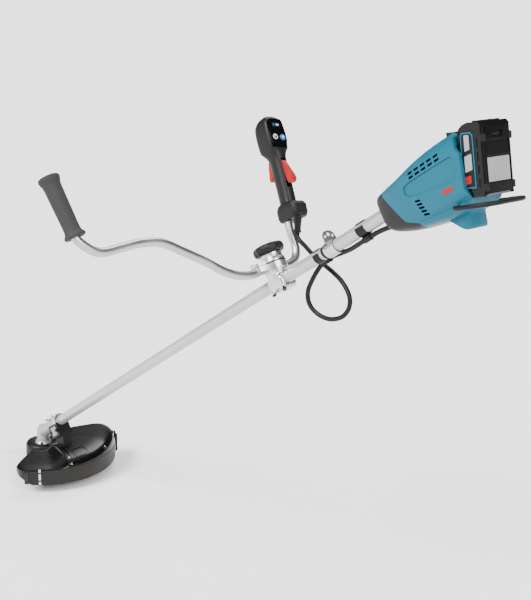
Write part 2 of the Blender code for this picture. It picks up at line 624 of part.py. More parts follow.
def control_moving():
    trig_pivot = GRIP_R @ Matrix.Translation(Vector((-13 * MM, 0, 116 * MM)))
    outline = [(0, 3.6), (-5, 3.2), (-14, -1), (-18.5, -14), (-24, -38), (-25, -46), (-21.5, -48.5),
               (-13, -45), (-9.5, -30), (-8.5, -12), (-3.2, -4), (3, -3), (3.8, 0), (3, 3)]
    trig = prism("trigger", outline, -5.8, 5.8, trig_pivot)
    node(trig, "red", 30)
    lev_pivot = GRIP_R @ Matrix.Translation(Vector((13 * MM, 0, 101 * MM)))
    outline = [(0, 3.6), (4.4, 2.8), (9.5, -6), (16, -20), (25, -40), (28.5, -50), (26.5, -56),
               (20, -59.5), (13, -58.5), (9, -50), (5.2, -20), (-3, -3.4), (-3.8, 0), (-3, 3)]
    node(prism("lock_off_lever", outline, -6.8, 6.8, lev_pivot), "red", 30)
    for name, y, recipe in (("power_button", -11.5, "white"), ("mode_button", 11.5, "blue")):
        place = button_frame(y, 159)
        cap = lathe(name, [(0, 15.4), (7.8, 15.4), (7.8, 23.0), (6.9, 24.2), (3.2, 24.8), (0, 24.8)],
                    place, MID)
        node(cap, recipe)


# ---------------------------------------------------------------- hanger, clips
def beside(s, turn):
    """Centre of the cable against the tube, turned from under it towards +Y by turn degrees."""
    a = math.radians(turn)
    return (s, -CABLE_H * math.sin(a), CABLE_H * math.cos(a))


def hanger_and_clips():
    plate_place = frame(at(HANGER_S, 0, 0), Y, U)      # x to the right, y up the shaft normal
    band = rod("hanger", TUBE_R + 3.4, -16, 16, plate_place, FINE)
    outline = [(-19, 12), (19, 12), (19, 24), (16, 33), (10, 38.5), (0, 40.5), (-10, 38.5), (-16, 33),
               (-19, 24)]
    plate = loft("plate", [[(x, y, z) for x, y in outline] for z in (-1.5, 1.5)], plate_place)
    holes = [drill(r, -5, 5, plate_place @ Matrix.Translation(Vector((x * MM, y * MM, 0))))
             for x, y, r in ((0, HOOK_H, 4.6), (-11, 27, 3.4), (11, 27, 3.4))]
    bore = drill(TUBE_R + 1.9, -20, 20, plate_place, FINE)
    node(cut(join(band, plate), bore, *holes), "bright", 30)
    node(ring("hanger_sleeve", TUBE_R + 0.3, TUBE_R + 1.6, -26, 26, plate_place), "soft")

    gap = frame(at(0, 0, 0), N * math.sin(math.radians(34)) - Y * math.cos(math.radians(34)), U)
    for i, (s0, s1, turn) in enumerate(((134, 152, 60), (276, 300, 0))):
        under = frame(at(*beside(0, turn)), Y, U)
        band = rod(f"cable_clip_{i + 1}", TUBE_R + 2.2, s0, s1, ALONG, FINE)
        join(band, rod("saddle", CABLE_R + 2.6, s0 + 1, s1 - 1, under, 18))
        cut(band, drill(TUBE_R + 0.35, s0 - 5, s1 + 5, ALONG, FINE),
            drill(CABLE_R + 0.35, s0 - 5, s1 + 5, under, MID),
            block("gap", (4, 30), (-4.6, 4.6), (s0 - 5, s1 + 5), gap))
        node(band, "soft")


# ---------------------------------------------------------------- cable
CABLE_ROUTE = [(10.5, 95, 100.0), (5.5, 95, 92.4), (10, 94, 79), (21, 90.5, 64), (48, 76, 33),
               (90, 52, -4), (124, 37, -37), (144, 31, -67), (152, 27, -97), (148, 24, -117),
               (134, 22, -130), (112, 19, -135.5), (83, 16, -128), (61, 14, -111), (48, 12, -90),
               (46, 11, -70), (56, 11, -50), (76, 14, -34), (100, 18, -20), beside(124, 60),
               beside(143, 60), beside(162, 60), beside(190, 46), beside(222, 24), beside(254, 4),
               beside(276, 0), beside(300, 0), (320, 0, -22.7), (346, 0, -25.7), (368, 0, -30),
               (385, 0, -33.3)]


def cable():
    path = smooth_path(CABLE_ROUTE, 21)
    curve = bpy.data.curves.new("cable", "CURVE")
    curve.dimensions = "3D"
    spline = curve.splines.new("POLY")
    spline.points.add(len(path) - 1)
    for point, co in zip(spline.points, path):
        point.co = (*(at(*co)), 1)
    curve.bevel_depth = CABLE_R * MM
    curve.bevel_resolution = 3
    curve.use_fill_caps = True
    obj = bpy.data.objects.new("cable", curve)
    bpy.context.scene.collection.objects.link(obj)
    obj.data.materials.append(material("cable", "matte_black"))
    spline.use_smooth = True


# ---------------------------------------------------------------- motor housing
HOUSING = [(363, 20, -15, 17), (367, 30, -28, 25), (375, 35, -41, 32), (393, 37.5, -52, 38),
           (415, 40, -61, 43), (441, 43, -69, 47), (490, 51, -79, 52), (531, 55.5, -87, 54),
           (565, 57, -89, 54.5), (600, 57, -88, 55), (640, 57, -86, 55)]
FRONT_EDGE = [(391, 90), (391, 37), (434, -47), (463, -62), (465, -160)]


def box_ring(s, top, low, w, inset=0.0, power=4.2, count=24):
    pts = []
    for k in range(count):
        a = 2 * math.pi * (k + 0.5) / count
        c, v = math.cos(a), math.sin(a)
        y = math.copysign(abs(c) ** (2 / power), c) * (w - inset)
        h = math.copysign(abs(v) ** (2 / power), v) * ((top - low) / 2 - inset) + (top + low) / 2
        pts.append((s, y, h))
    return pts


def pack_box(name, xs, ys, zs):
    return block(name, xs, ys, zs, PACK)


def housing():
    def envelope(name, inset=0.0):
        rows = HOUSING if not inset else [(366, 24, -20, 20)] + HOUSING[2:]
        return loft(name, [box_ring(s, t, b, w, inset) for s, t, b, w in rows], SHAFT)
    behind = [(680, -160), (680, 90)]
    rear_edge = [(465.4, -160), (463.4, -61.9), (434.4, -46.9), (391.4, 37), (391.4, 90), (587, 90),
                 (587, 56), (606, 28), (619, 23), (622, 8), (598, -53), (602, -72), (590, -84),
                 (590, -160)]
    boot = keep(envelope("boot"), prism("front", FRONT_EDGE + [(320, -160), (320, 90)], -90, 90, SHAFT))
    inner = envelope("inner", 2.8)
    boot = cut(boot, inner, rod("bore", TUBE_R + 0.35, 350, 376, ALONG, FINE),
               rod("entry", CABLE_R + 1.2, -14, 22, frame(at(368, 0, -30), Y, U * 0.982 - N * 0.19), LOW))
    node(boot, "grey", 30)

    shell = keep(envelope("housing"), prism("rear", rear_edge, -90, 90, SHAFT))
    foot = prism("foot", [(505, -78), (538, -113), (557, -119.5), (567, -87), (590, -80),
                          (560, -66)], -26, 26, SHAFT)
    shell = join(shell, foot)
    inner = envelope("inner", 2.8)
    inner = cut(inner, pack_box("far", (-6, 200), (-90, 90), (-90, 230)))
    window = pack_box("window", (-20, 10), (-25, 25), (12, 48))
    bay = pack_box("bay", (-2, 120), (-41, 41), (0, 200))
    hollow_foot = prism("hollow", [(530, -92), (541, -109), (553, -114), (559, -92)], -22, 22, SHAFT)
    link = prism("link", [(526, -70), (560, -96), (548, -100), (516, -78)], -8, 8, SHAFT)
    shell = cut(shell, inner, bay, window, hollow_foot, link)
    vents = []
    for side in (-1, 1):
        for k in range(5):
            s = 493 + 18.3 * k
            for h in (31, 22.5):
                vents.append(((s - 6.5, s + 6.5), (side * 62, side * 44), (h - 1.9, h + 2.1)))
            s, h = 478 + 5.0 * k, -21 - 9.4 * k
            vents.append(((s - 8, s + 8), (side * 62, side * 40), (h - 2.1, h + 2.1)))
    boxes = [block("vent", xs, (min(ys), max(ys)), zs, SHAFT) for xs, ys, zs in vents]
    shell = cut(shell, *boxes)
    wires = [rod("socket", 5.2, 45 * k - 15, 45 * k + 15, frame(at(566, 0, -76.4), N, Y), LOW)
             for k in (-1, 1)]
    shell = cut(shell, *wires)
    other = shell.copy()
    other.data = shell.data.copy()
    bpy.context.scene.collection.objects.link(other)
    shell.name, other.name = "housing_left", "housing_right"
    keep(shell, block("left", (300, 700), (-90, -0.15), (-200, 120), SHAFT))
    keep(other, block("right", (300, 700), (0.15, 90), (-200, 120), SHAFT))
    node(shell, "teal", 30)
    node(other, "teal", 30)


def housing_inside():
    node(ring("motor_stator", 23.6, 34.0, 404, 446, ALONG, MID), "copper")
    mount = lathe("motor_mount", [(5.2, 390), (33.5, 390), (33.5, 402.5), (31.5, 402.5), (31.5, 395),
                                  (5.2, 395)], ALONG, MID)
    node(mount, "cast")
    node(block("controller_box", (470, 512), (-32, 32), (-66, -38), SHAFT, 2.0), "matte_black", 0)

    cradle_outline = [(-1.6, -34), (13.4, -34), (13.4, -22), (9, -22), (9, -27), (2.6, -27),
                      (2.6, 27), (9, 27), (9, 22), (13.4, 22), (13.4, 34), (-1.6, 34)]
    cradle = post("battery_cradle", cradle_outline, 6, 122, PACK)
    node(cradle, "matte_black", 30)

    half = [(566, 46, -76.4), (566, 57.5, -76.4), (569, 63.5, -77.4), (578, 66, -80.5),
            (606, 65.5, -90), (629, 58, -98), (640, 42, -102)]
    route = [(s, -y, h) for s, y, h in half] + [(643, 0, -103)] + half[::-1]
    path = smooth_path(route, 14)
    node(sweep("battery_loop", path, 4.6, SHAFT, LOW), "black")


# ---------------------------------------------------------------- battery pack
def battery():
    w = PACK_W / 2
    t = PACK_T
    outline = [(3.2, -25.8), (8.4, -25.8), (8.4, -21.4), (14, -21.4), (14, -w + 2), (16, -w),
               (t - 8, -w), (t - 1.5, -w + 7), (t, -w + 16), (t, w - 16), (t - 1.5, w - 7),
               (t - 8, w), (16, w), (14, w - 2), (14, 21.4), (8.4, 21.4), (8.4, 25.8), (3.2, 25.8)]
    case = post("battery_case", outline, 1.0, PACK_L - 3, PACK)
    slits = [pack_box("slit", (2, 8), (y - 1.2, y + 1.2), (-2, 50)) for y in (-13, 13)]
    pocket = pack_box("pocket", (t - 13.5, t + 5), (-16, 16), (107, 118.6))
    trims = [prism("trim", [(t + 4, PACK_L - 16), (t - 12, PACK_L + 2), (t + 4, PACK_L + 2)], -60, 60,
                   PACK),
             prism("trim", [(t + 4, -4), (t + 4, 10), (t - 8, -4)], -60, 60, PACK)]
    case = cut(case, pocket, *slits, *trims)
    node(case, "black", 30)
    node(block("battery_release", (t - 9.4, t + 1.2), (-15.4, 15.4), (107.6, 118), PACK, 1.5),
         "grey", 0)


shaft_and_gear_case()
drive_line()
cutting_head()
guard()
handle_clamp()
clamp_knob()
handlebar()
control_grip()
control_moving()
hanger_and_clips()
cable()
housing()
housing_inside()
battery()
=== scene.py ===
"""Looks of a battery brush cutter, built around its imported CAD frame.

Row frame, metres: +X runs back along the machine, +Y is its right-hand side, +Z is up, and the
origin is the hook hole of the harness hanger.  Sizes below are millimetres; MM makes them metres.
Most shapes are drawn in the shaft's own frame: s along the shaft, y to the right, h along its
normal, all from the point where the handle clamp's axis crosses the shaft.
"""
import json
import math

import bmesh
import bpy
from mathutils import Matrix, Vector

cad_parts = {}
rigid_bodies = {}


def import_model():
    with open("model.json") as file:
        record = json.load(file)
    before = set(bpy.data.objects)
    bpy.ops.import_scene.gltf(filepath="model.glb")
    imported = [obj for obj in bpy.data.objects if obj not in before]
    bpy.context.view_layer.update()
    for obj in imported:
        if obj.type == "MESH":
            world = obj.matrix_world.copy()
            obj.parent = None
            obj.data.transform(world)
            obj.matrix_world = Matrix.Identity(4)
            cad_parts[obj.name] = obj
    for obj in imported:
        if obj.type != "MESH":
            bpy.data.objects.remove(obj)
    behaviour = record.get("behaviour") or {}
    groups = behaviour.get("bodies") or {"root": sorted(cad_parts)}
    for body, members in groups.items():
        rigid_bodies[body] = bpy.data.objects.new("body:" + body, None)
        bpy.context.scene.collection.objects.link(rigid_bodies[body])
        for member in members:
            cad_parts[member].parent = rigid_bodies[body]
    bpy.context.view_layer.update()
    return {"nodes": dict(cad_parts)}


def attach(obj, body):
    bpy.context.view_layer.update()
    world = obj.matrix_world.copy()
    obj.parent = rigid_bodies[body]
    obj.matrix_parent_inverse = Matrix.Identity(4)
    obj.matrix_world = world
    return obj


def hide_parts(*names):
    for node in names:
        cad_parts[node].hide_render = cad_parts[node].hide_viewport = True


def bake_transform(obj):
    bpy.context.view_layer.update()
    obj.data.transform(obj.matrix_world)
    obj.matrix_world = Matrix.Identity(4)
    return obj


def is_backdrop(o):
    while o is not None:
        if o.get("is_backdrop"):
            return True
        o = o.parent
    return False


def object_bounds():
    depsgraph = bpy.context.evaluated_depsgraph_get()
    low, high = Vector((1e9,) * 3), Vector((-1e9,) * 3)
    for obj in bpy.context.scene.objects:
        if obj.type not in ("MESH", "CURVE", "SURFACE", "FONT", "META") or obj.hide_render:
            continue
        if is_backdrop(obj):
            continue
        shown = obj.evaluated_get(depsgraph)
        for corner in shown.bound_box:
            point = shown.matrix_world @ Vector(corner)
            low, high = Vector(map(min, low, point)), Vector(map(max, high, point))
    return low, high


for old in list(bpy.data.objects):
    bpy.data.objects.remove(old, do_unlink=True)
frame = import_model()
NODES = frame["nodes"]
MM = 0.001

# driving dimensions
SHAFT_TILT = 33.5
TUBE_R, TUBE_WALL = 14.0, 1.6
TUBE_FRONT, TUBE_REAR = -1150.0, 386.0
GEAR_S = -1195.0
HANGER_S, HOOK_H = 187.5, 31.0
BAR_R = 9.75
GUARD_R, GUARD_FROM, GUARD_TO = 212.0, -57.0, 74.0
SEAM_Z, SKIRT_Z = -36.0, -82.0
HEAD_R, HEAD_TOP, HEAD_LOW = 52.0, -45.0, -88.0
LINE_Z = -66.0
GRIP_LEAN, GRIP_BACK = 0.1385, 0.063
PACK_LEAN, PACK_S, PACK_H = 23.0, 550.1, -51.0
PACK_T = 84.0
CABLE_H = -22.6                              # the cable's centre where it lies under the tube
JACKET_R = 5.4                              # the seen cable, a little over the CAD one
GUARD_INNER = 72.0                          # radius of the guard's inner edge
CASE_HALF_W, CASE_T, CASE_TOP = 44.5, 87.5, 136.5   # the battery as seen, a little over the CAD one
ROUND = 56                                  # sides of a round piece
LINE_ANGLES = (46, 226)                     # where the cutting line leaves the head
CUTTER_ANGLE, STRIP_ANGLE = -46.0, -36.0    # line cutter and bright strip on the skirt
HOUSING_WALL, HALF_SEAM = 2.8, 0.15         # housing shell, half the gap between two halves
PANEL_X, KEY_Y, KEY_Z = 21.5, 11.5, 159     # panel face and its two keys, in the grip's frame

ST, CT = math.sin(math.radians(SHAFT_TILT)), math.cos(math.radians(SHAFT_TILT))
U, N, Y = Vector((CT, 0, ST)), Vector((-ST, 0, CT)), Vector((0, 1, 0))
CLAMP = -(U * HANGER_S + N * HOOK_H) * MM


# ---------------------------------------------------------------- frames
def at(s, y, h):
    return CLAMP + (U * s + Y * y + N * h) * MM


def axes(origin, x, z):
    """Rigid frame at a point with the given x and z directions."""
    z = Vector(z).normalized()
    x = Vector(x)
    x = (x - z * x.dot(z)).normalized()
    m = Matrix((x, z.cross(x), z)).transposed().to_4x4()
    m.translation = origin
    return m


def shifted(place, x, y, z, turn=0.0, about="Z"):
    return place @ Matrix.Translation(Vector((x, y, z)) * MM) @ Matrix.Rotation(math.radians(turn), 4, about)


SHAFT = axes(at(0, 0, 0), U, N)
ALONG = axes(at(0, 0, 0), -N, U)
DRIVE = axes(at(GEAR_S, 0, 0), -N, U)
GEAR = axes(at(GEAR_S, 0, 0), (1, 0, 0), (0, 0, 1))
LEAN = math.radians(PACK_LEAN)
PACK = axes(at(PACK_S, 0, PACK_H), U * math.cos(LEAN) - N * math.sin(LEAN),
        N * math.cos(LEAN) + U * math.sin(LEAN))
GRIP_R = axes(at(2.0, 111.7, 174.4), U, U * GRIP_BACK + Y * GRIP_LEAN + N)
GRIP_L = axes(at(-6.2, -473.0, 177.0), U, U * GRIP_BACK - Y * GRIP_LEAN + N)
STRAIN = axes(at(35, 95, 137), (1, 0, 0), (0, 0, -1))


def about_spindle(a):
    return shifted(GEAR, 0, 0, 0, a)


def within(place, point, x, z):
    """Frame at a millimetre point of another frame, with x and z directions given in that frame."""
    turn = place.to_3x3()
    return axes(place @ (Vector(point) * MM), turn @ Vector(x), turn @ Vector(z))


def panel_axes(y, z):
    """Frame on the control panel, z axis pointing out of it."""
    return within(GRIP_R, (0, y, z), (0, 0, 1), (1, 0, 0))


# ---------------------------------------------------------------- materials
class Graph:
    """Small helper that adds and wires shader nodes."""

    def __init__(self, name):
        self.mat = bpy.data.materials.new(name)
        self.mat.use_nodes = True
        self.tree = self.mat.node_tree
        self.bsdf = self.tree.nodes["Principled BSDF"]

    def add(self, kind, inputs=(), **settings):
        made = self.tree.nodes.new(kind)
        for key, value in settings.items():
            setattr(made, key, value)
        for socket, value in dict(inputs).items():
            if isinstance(value, bpy.types.NodeSocket):
                self.tree.links.new(value, made.inputs[socket])
            else:
                made.inputs[socket].default_value = value
        return made

    def noise(self, scale, detail=2.0, stretch=(1, 1, 1), tilt=0.0):
        """Noise over the piece's own coordinates, optionally drawn out along the shaft."""
        place = self.add("ShaderNodeTexCoord").outputs["Object"]
        turned = self.add("ShaderNodeMapping", {"Vector": place, "Rotation": (0, math.radians(tilt), 0)})
        drawn = self.add("ShaderNodeMapping", {"Vector": turned.outputs[0], "Scale": stretch})
        return self.add("ShaderNodeTexNoise",
                {"Vector": drawn.outputs[0], "Scale": scale, "Detail": detail}).outputs["Fac"]

    def spread(self, value, low, high, start=0.3, end=0.7):
        return self.add("ShaderNodeMapRange", {"Value": value, "From Min": start, "From Max": end,
                "To Min": low, "To Max": high}).outputs["Result"]

    def blend(self, share, a, b):
        made = self.add("ShaderNodeMix", data_type="RGBA")
        self.tree.links.new(share, made.inputs["Factor"])
        for key, value in (("A", a), ("B", b)):
            socket = [i for i in made.inputs if i.name == key and i.type == "RGBA"][0]
            if isinstance(value, bpy.types.NodeSocket):
                self.tree.links.new(value, socket)
            else:
                socket.default_value = (*value, 1)
        return [o for o in made.outputs if o.type == "RGBA"][0]

    def wire(self, value, socket):
        self.tree.links.new(value, self.bsdf.inputs[socket])


def tone(colour, k):
    return tuple(min(1.0, c * k) for c in colour)


def surface(name, colour, rough, metal=0.0, grain=900.0, relief=0.12, mottle=0.1, gloss=0.0,
        stretch=(1, 1, 1), tilt=0.0):
    """Moulded, cast or drawn surface: uneven colour, uneven roughness and a fine relief."""
    g = Graph(name)
    cloud = g.noise(22.0, 3.0, stretch, tilt)
    fine = g.noise(grain, 2.0, stretch, tilt)
    g.wire(g.blend(g.spread(cloud, 0, 1), tone(colour, 1 - mottle), tone(colour, 1 + mottle)), "Base Color")
    g.wire(g.spread(cloud, rough * 0.88, rough * 1.15), "Roughness")
    bump = g.add("ShaderNodeBump", {"Height": fine, "Strength": relief, "Distance": 0.0003})
    g.wire(bump.outputs["Normal"], "Normal")
    g.bsdf.inputs["Metallic"].default_value = metal
    g.bsdf.inputs["Coat Weight"].default_value = gloss
    g.bsdf.inputs["Coat Roughness"].default_value = 0.08
    return g


DRAWN = dict(stretch=(0.02, 1, 1), tilt=SHAFT_TILT)     # streaks that run along the shaft


def make_materials():
    made = {
        "tube": surface("drawn_tube", (0.46, 0.45, 0.42), 0.34, 0.45, 700, 0.10, 0.05, **DRAWN),
        "bar": surface("polished_bar", (0.46, 0.455, 0.45), 0.34, 1.0, 260, 0.05, 0.05),
        "bright": surface("cast_bright", (0.60, 0.595, 0.585), 0.28, 0.95, 420, 0.22, 0.08),
        "cast": surface("painted_casting", (0.36, 0.365, 0.36), 0.42, 0.25, 600, 0.30, 0.07),
        "flange": surface("raw_casting", (0.40, 0.39, 0.37), 0.40, 0.6, 500, 0.35, 0.10),
        "steel": surface("machined_steel", (0.36, 0.36, 0.37), 0.30, 1.0, 500, 0.12, 0.08),
        "black_steel": surface("blackened_steel", (0.012, 0.012, 0.013), 0.42, 0.4, 700, 0.15, 0.15),
        "teal": surface("teal_shell", (0.001, 0.090, 0.142), 0.44, 0.0, 1300, 0.22, 0.05),
        "grey": surface("dark_moulding", (0.0062, 0.0060, 0.0061), 0.46, 0.0, 1200, 0.30, 0.08),
        "pale_grey": surface("grey_moulding", (0.030, 0.030, 0.030), 0.48, 0.0, 1200, 0.30, 0.08),
        "soft": surface("soft_grip", (0.026, 0.0255, 0.026), 0.72, 0.0, 800, 0.65, 0.10),
        "rubber": surface("black_rubber", (0.0030, 0.0030, 0.0030), 0.50, 0.0, 900, 0.35, 0.15),
        "black": surface("gloss_black", (0.0016, 0.0016, 0.0016), 0.14, 0.0, 300, 0.03, 0.10),
        "matte_black": surface("matte_black", (0.0026, 0.0025, 0.0026), 0.42, 0.0, 1000, 0.25, 0.12),
        "skirt": surface("skirt_plastic", (0.0095, 0.0082, 0.0072), 0.42, 0.0, 900, 0.20, 0.12),
        "red": surface("red_plastic", (0.30, 0.006, 0.006), 0.36, 0.0, 900, 0.12, 0.06),
        "blue": surface("blue_key", (0.005, 0.11, 0.28), 0.3, 0.0, 700, 0.08, 0.05),
        "white": surface("white_key", (0.55, 0.56, 0.57), 0.35, 0.0, 700, 0.08, 0.04),
        "label": surface("plain_label", (0.26, 0.26, 0.265), 0.32, 0.0, 200, 0.04, 0.08),
        "copper": surface("windings", (0.45, 0.16, 0.07), 0.35, 0.9, 300, 0.6, 0.15, stretch=(1, 6, 1)),
        "nylon": surface("nylon_line", (0.75, 0.76, 0.74), 0.30, 0.0, 600, 0.10, 0.04),
        # near-black painted shade for the insides of holes, slots, vents and inner shell walls, left on the
        # faces of cuts
        "hollow": surface("painted_shade_inside", (0.002, 0.002, 0.002), 0.8, 0.0, 500, 0.1, 0.1),
    }
    made["nylon"].bsdf.inputs["Transmission Weight"].default_value = 0.35
    for g in made.values():
        if g.bsdf.inputs["Metallic"].default_value < 0.3:
            g.bsdf.inputs["Specular IOR Level"].default_value = 0.22
    return {key: g.mat for key, g in made.items()}


def guard_material():
    """Black guard: dull where it faces up, polished where it turns down."""
    g = surface("guard_plastic", (0.0026, 0.0024, 0.0025), 0.3, 0.0, 800, 0.10, 0.10)
    facing = g.add("ShaderNodeSeparateXYZ", {"Vector": g.add("ShaderNodeNewGeometry").outputs["Normal"]})
    g.wire(g.spread(facing.outputs["Z"], 0.10, 0.42, 0.86, 0.99), "Roughness")
    g.bsdf.inputs["Specular IOR Level"].default_value = 0.26
    return g.mat


MAT = make_materials()
MAT["guard"] = guard_material()


# ---------------------------------------------------------------- mesh helpers
def new_object(name, data):
    obj = bpy.data.objects.new(name, data)
    bpy.context.scene.collection.objects.link(obj)
    return obj


def solid(name, verts, faces, place, mat):
    """Object from millimetre points in the frame `place`; its own origin stays at the row's.

    The shapes below that name no material are cutting tools, which leave painted shade, a near-black colour,
    on the faces they cut.
    """
    data = bpy.data.meshes.new(name)
    data.from_pydata([tuple(place @ (Vector(v) * MM)) for v in verts], [], faces)
    data.materials.append(MAT[mat])
    bm = bmesh.new()
    bm.from_mesh(data)
    bmesh.ops.remove_doubles(bm, verts=bm.verts, dist=1e-6)
    bmesh.ops.recalc_face_normals(bm, faces=bm.faces)
    bm.to_mesh(data)
    bm.free()
    return new_object(name, data)


def lathe(name, profile, place, mat="hollow", steps=ROUND, ribs=None):
    """Turn a closed (radius, z) profile about z; ribs(angle, r, z) may change a radius."""
    verts, faces, n = [], [], len(profile)
    for i in range(steps):
        a = 2 * math.pi * i / steps
        for r, z in profile:
            rr = ribs(a, r, z) if ribs else r
            verts.append((rr * math.cos(a), rr * math.sin(a), z))
    for i in range(steps):
        j = (i + 1) % steps
        for k in range(n):
            m = (k + 1) % n
            if profile[k][0] == 0 and profile[m][0] == 0:
                continue
            quad = [i * n + k, j * n + k, j * n + m, i * n + m]
            if profile[k][0] == 0:
                quad.pop(1)
            elif profile[m][0] == 0:
                quad.pop(2)
            faces.append(quad)
    return solid(name, verts, faces, place, mat)


def rod(name, r, z0, z1, place, mat="hollow", steps=32, edge=0.0):
    profile = [(0, z0), (r - edge, z0), (r, z0 + edge), (r, z1 - edge), (r - edge, z1), (0, z1)]
    if not edge:
        profile = [(0, z0), (r, z0), (r, z1), (0, z1)]
    return lathe(name, profile, place, mat, steps)


def loft(name, rings, place, mat="hollow"):
    n = len(rings[0])
    faces = [[i * n + k, (i + 1) * n + k, (i + 1) * n + (k + 1) % n, i * n + (k + 1) % n]
            for i in range(len(rings) - 1) for k in range(n)]
    faces += [list(range(n)), list(range((len(rings) - 1) * n, len(rings) * n))]
    return solid(name, [p for r in rings for p in r], faces, place, mat)


def prism(name, outline, y0, y1, place, mat="hollow"):
    """Outline of (x, z) points drawn through y0..y1."""
    return loft(name, [[(x, y, z) for x, z in outline] for y in (y0, y1)], place, mat)


def post(name, outline, z0, z1, place, mat="hollow"):
    return loft(name, [[(x, y, z) for x, y in outline] for z in (z0, z1)], place, mat)


def block(name, xs, ys, zs, place, mat="hollow"):
    return post(name, [(xs[0], ys[0]), (xs[1], ys[0]), (xs[1], ys[1]), (xs[0], ys[1])], *zs, place, mat)


def hexagon(r):
    return [(r * math.cos(k * math.pi / 3), r * math.sin(k * math.pi / 3)) for k in range(6)]


def on_side(side, near, far):
    """Span from near to far of the middle plane, on the side whose sign is given."""
    return sorted((side * near, side * far))


def rounded(outline, r, steps=4):
    """Outline with each corner turned into an arc of about radius r."""
    out = []
    for i, p in enumerate(outline):
        a, b, c = (Vector(q) for q in (outline[i - 1], p, outline[(i + 1) % len(outline)]))
        into, away = (a - b), (c - b)
        cut_back = min(r, into.length * 0.45, away.length * 0.45)
        p0, p1 = b + into.normalized() * cut_back, b + away.normalized() * cut_back
        for k in range(steps + 1):
            t = k / steps
            out.append(tuple(p0 * (1 - t) ** 2 + b * 2 * t * (1 - t) + p1 * t * t))
    return out


def curve_through(points, step):
    """Catmull-Rom points through given points, about `step` apart."""
    pts = [Vector(p) for p in points]
    ext = [pts[0] * 2 - pts[1]] + pts + [pts[-1] * 2 - pts[-2]]
    out = []
    for i in range(1, len(ext) - 2):
        p0, p1, p2, p3 = ext[i - 1:i + 3]
        n = max(1, round((p2 - p1).length / step))
        for k in range(n):
            t = k / n
            out.append(0.5 * (p1 * 2 + (p2 - p0) * t + (p0 * 2 - p1 * 5 + p2 * 4 - p3) * t * t
                    + (p1 * 3 - p0 - p2 * 3 + p3) * t ** 3))
    return out + [pts[-1]]


def sweep(name, path, radius, place, mat="hollow", steps=24):
    """Round bar along a path; radius may be a function of the share of its length."""
    pts = [Vector(p) for p in path]
    rings, last = [], len(pts) - 1
    side = (pts[1] - pts[0]).orthogonal().normalized()
    for i, p in enumerate(pts):
        t = (pts[min(i + 1, last)] - pts[max(i - 1, 0)]).normalized()
        side = (side - t * side.dot(t)).normalized()
        up = t.cross(side)
        r = radius(i / last) if callable(radius) else radius
        rings.append([tuple(p + (side * math.cos(a) + up * math.sin(a)) * r)
                for a in (2 * math.pi * k / steps for k in range(steps))])
    return loft(name, rings, place, mat)


def combine(target, tools, kind):
    """Apply booleans; faces left by a tool keep the tool's material."""
    for tool in tools:
        mod = target.modifiers.new(kind, "BOOLEAN")
        mod.operation, mod.solver, mod.object = kind, "EXACT", tool
        mod.material_mode = "TRANSFER"
        bpy.context.view_layer.update()
        data = bpy.data.meshes.new_from_object(
            target.evaluated_get(bpy.context.evaluated_depsgraph_get()))
        target.modifiers.clear()
        target.data = data
        bpy.data.objects.remove(tool, do_unlink=True)
    return target


def cut(target, *tools):
    return combine(target, tools, "DIFFERENCE")


def keep(target, *tools):
    return combine(target, tools, "INTERSECT")


def join(target, *tools):
    return combine(target, tools, "UNION")


def gather(name, target, *others):
    """Put separate shells of one piece into one object of that name."""
    bm = bmesh.new()
    bm.from_mesh(target.data)
    for other in others:
        bm.from_mesh(other.data)
        bpy.data.objects.remove(other, do_unlink=True)
    bm.to_mesh(target.data)
    bm.free()
    target.name = name
    return target


def halves(whole, names, xs, reach, zs, place, mat):
    """Split a shell at y = 0 into a left and a right half with a narrow seam."""
    other = whole.copy()
    other.data = whole.data.copy()
    bpy.context.scene.collection.objects.link(other)
    whole.name, other.name = names
    return (keep(whole, block("left", xs, (-reach, -HALF_SEAM), zs, place, mat)),
            keep(other, block("right", xs, (HALF_SEAM, reach), zs, place, mat)))


def soften(obj, width, angle=38.0):
    """Real rounded edges along everything sharper than the angle."""
    mod = obj.modifiers.new("edges", "BEVEL")
    mod.width, mod.segments, mod.limit_method = width * MM, 2, "ANGLE"
    mod.angle_limit, mod.harden_normals = math.radians(angle), True
    return obj


def piece(obj, body, *replaced, edge=0.0, smooth=35.0, slot=None):
    """Shade a finished piece and hang it on its body."""
    bm = bmesh.new()
    bm.from_mesh(obj.data)
    bmesh.ops.remove_doubles(bm, verts=bm.verts, dist=2e-6)
    for e in bm.edges:
        e.smooth = not (len(e.link_faces) == 2 and e.calc_face_angle(0) > math.radians(smooth))
    for f in bm.faces:
        f.smooth = True
    bm.to_mesh(obj.data)
    bm.free()
    if edge:
        soften(obj, edge)
    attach(obj, body)
    if replaced:
        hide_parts(*replaced)
    return obj


def dress(name, mat, edge=0.0, smooth=35.0):
    """Give a CAD node that stays its real material, welded shading and rounded edges."""
    obj = NODES[name]
    obj.data.materials.clear()
    obj.data.materials.append(MAT[mat])
    if "custom_normal" in obj.data.attributes:
        obj.data.attributes.remove(obj.data.attributes["custom_normal"])
    for poly in obj.data.polygons:
        poly.material_index, poly.use_smooth = 0, True
    weld = obj.modifiers.new("weld", "WELD")
    weld.merge_threshold = 2e-6
    if edge:
        soften(obj, edge)
    split = obj.modifiers.new("creases", "EDGE_SPLIT")
    split.split_angle = math.radians(smooth)
    return obj


# ---------------------------------------------------------------- shaft and gear case
FLANGE_SCREWS = ((17, -17), (-17, 17))


def socket_screw(name, place, r, low, high, body, mat="black_steel", *replaced):
    """Cap screw head with a knurled rim and a hexagon socket."""
    def knurl(a, rr, z):
        return rr - (0.18 if rr > r - 0.2 and int(a / (math.pi / 36)) % 2 else 0.0)
    head = lathe(name, [(0, low), (r * 0.9, low), (r, low + 0.4), (r, high - 0.9), (r - 0.8, high),
            (0, high)], place, mat, 72, knurl)
    socket = post("socket", hexagon(r * 0.5), high - 2.4, high + 1, place)
    return piece(cut(head, socket), body, *replaced)


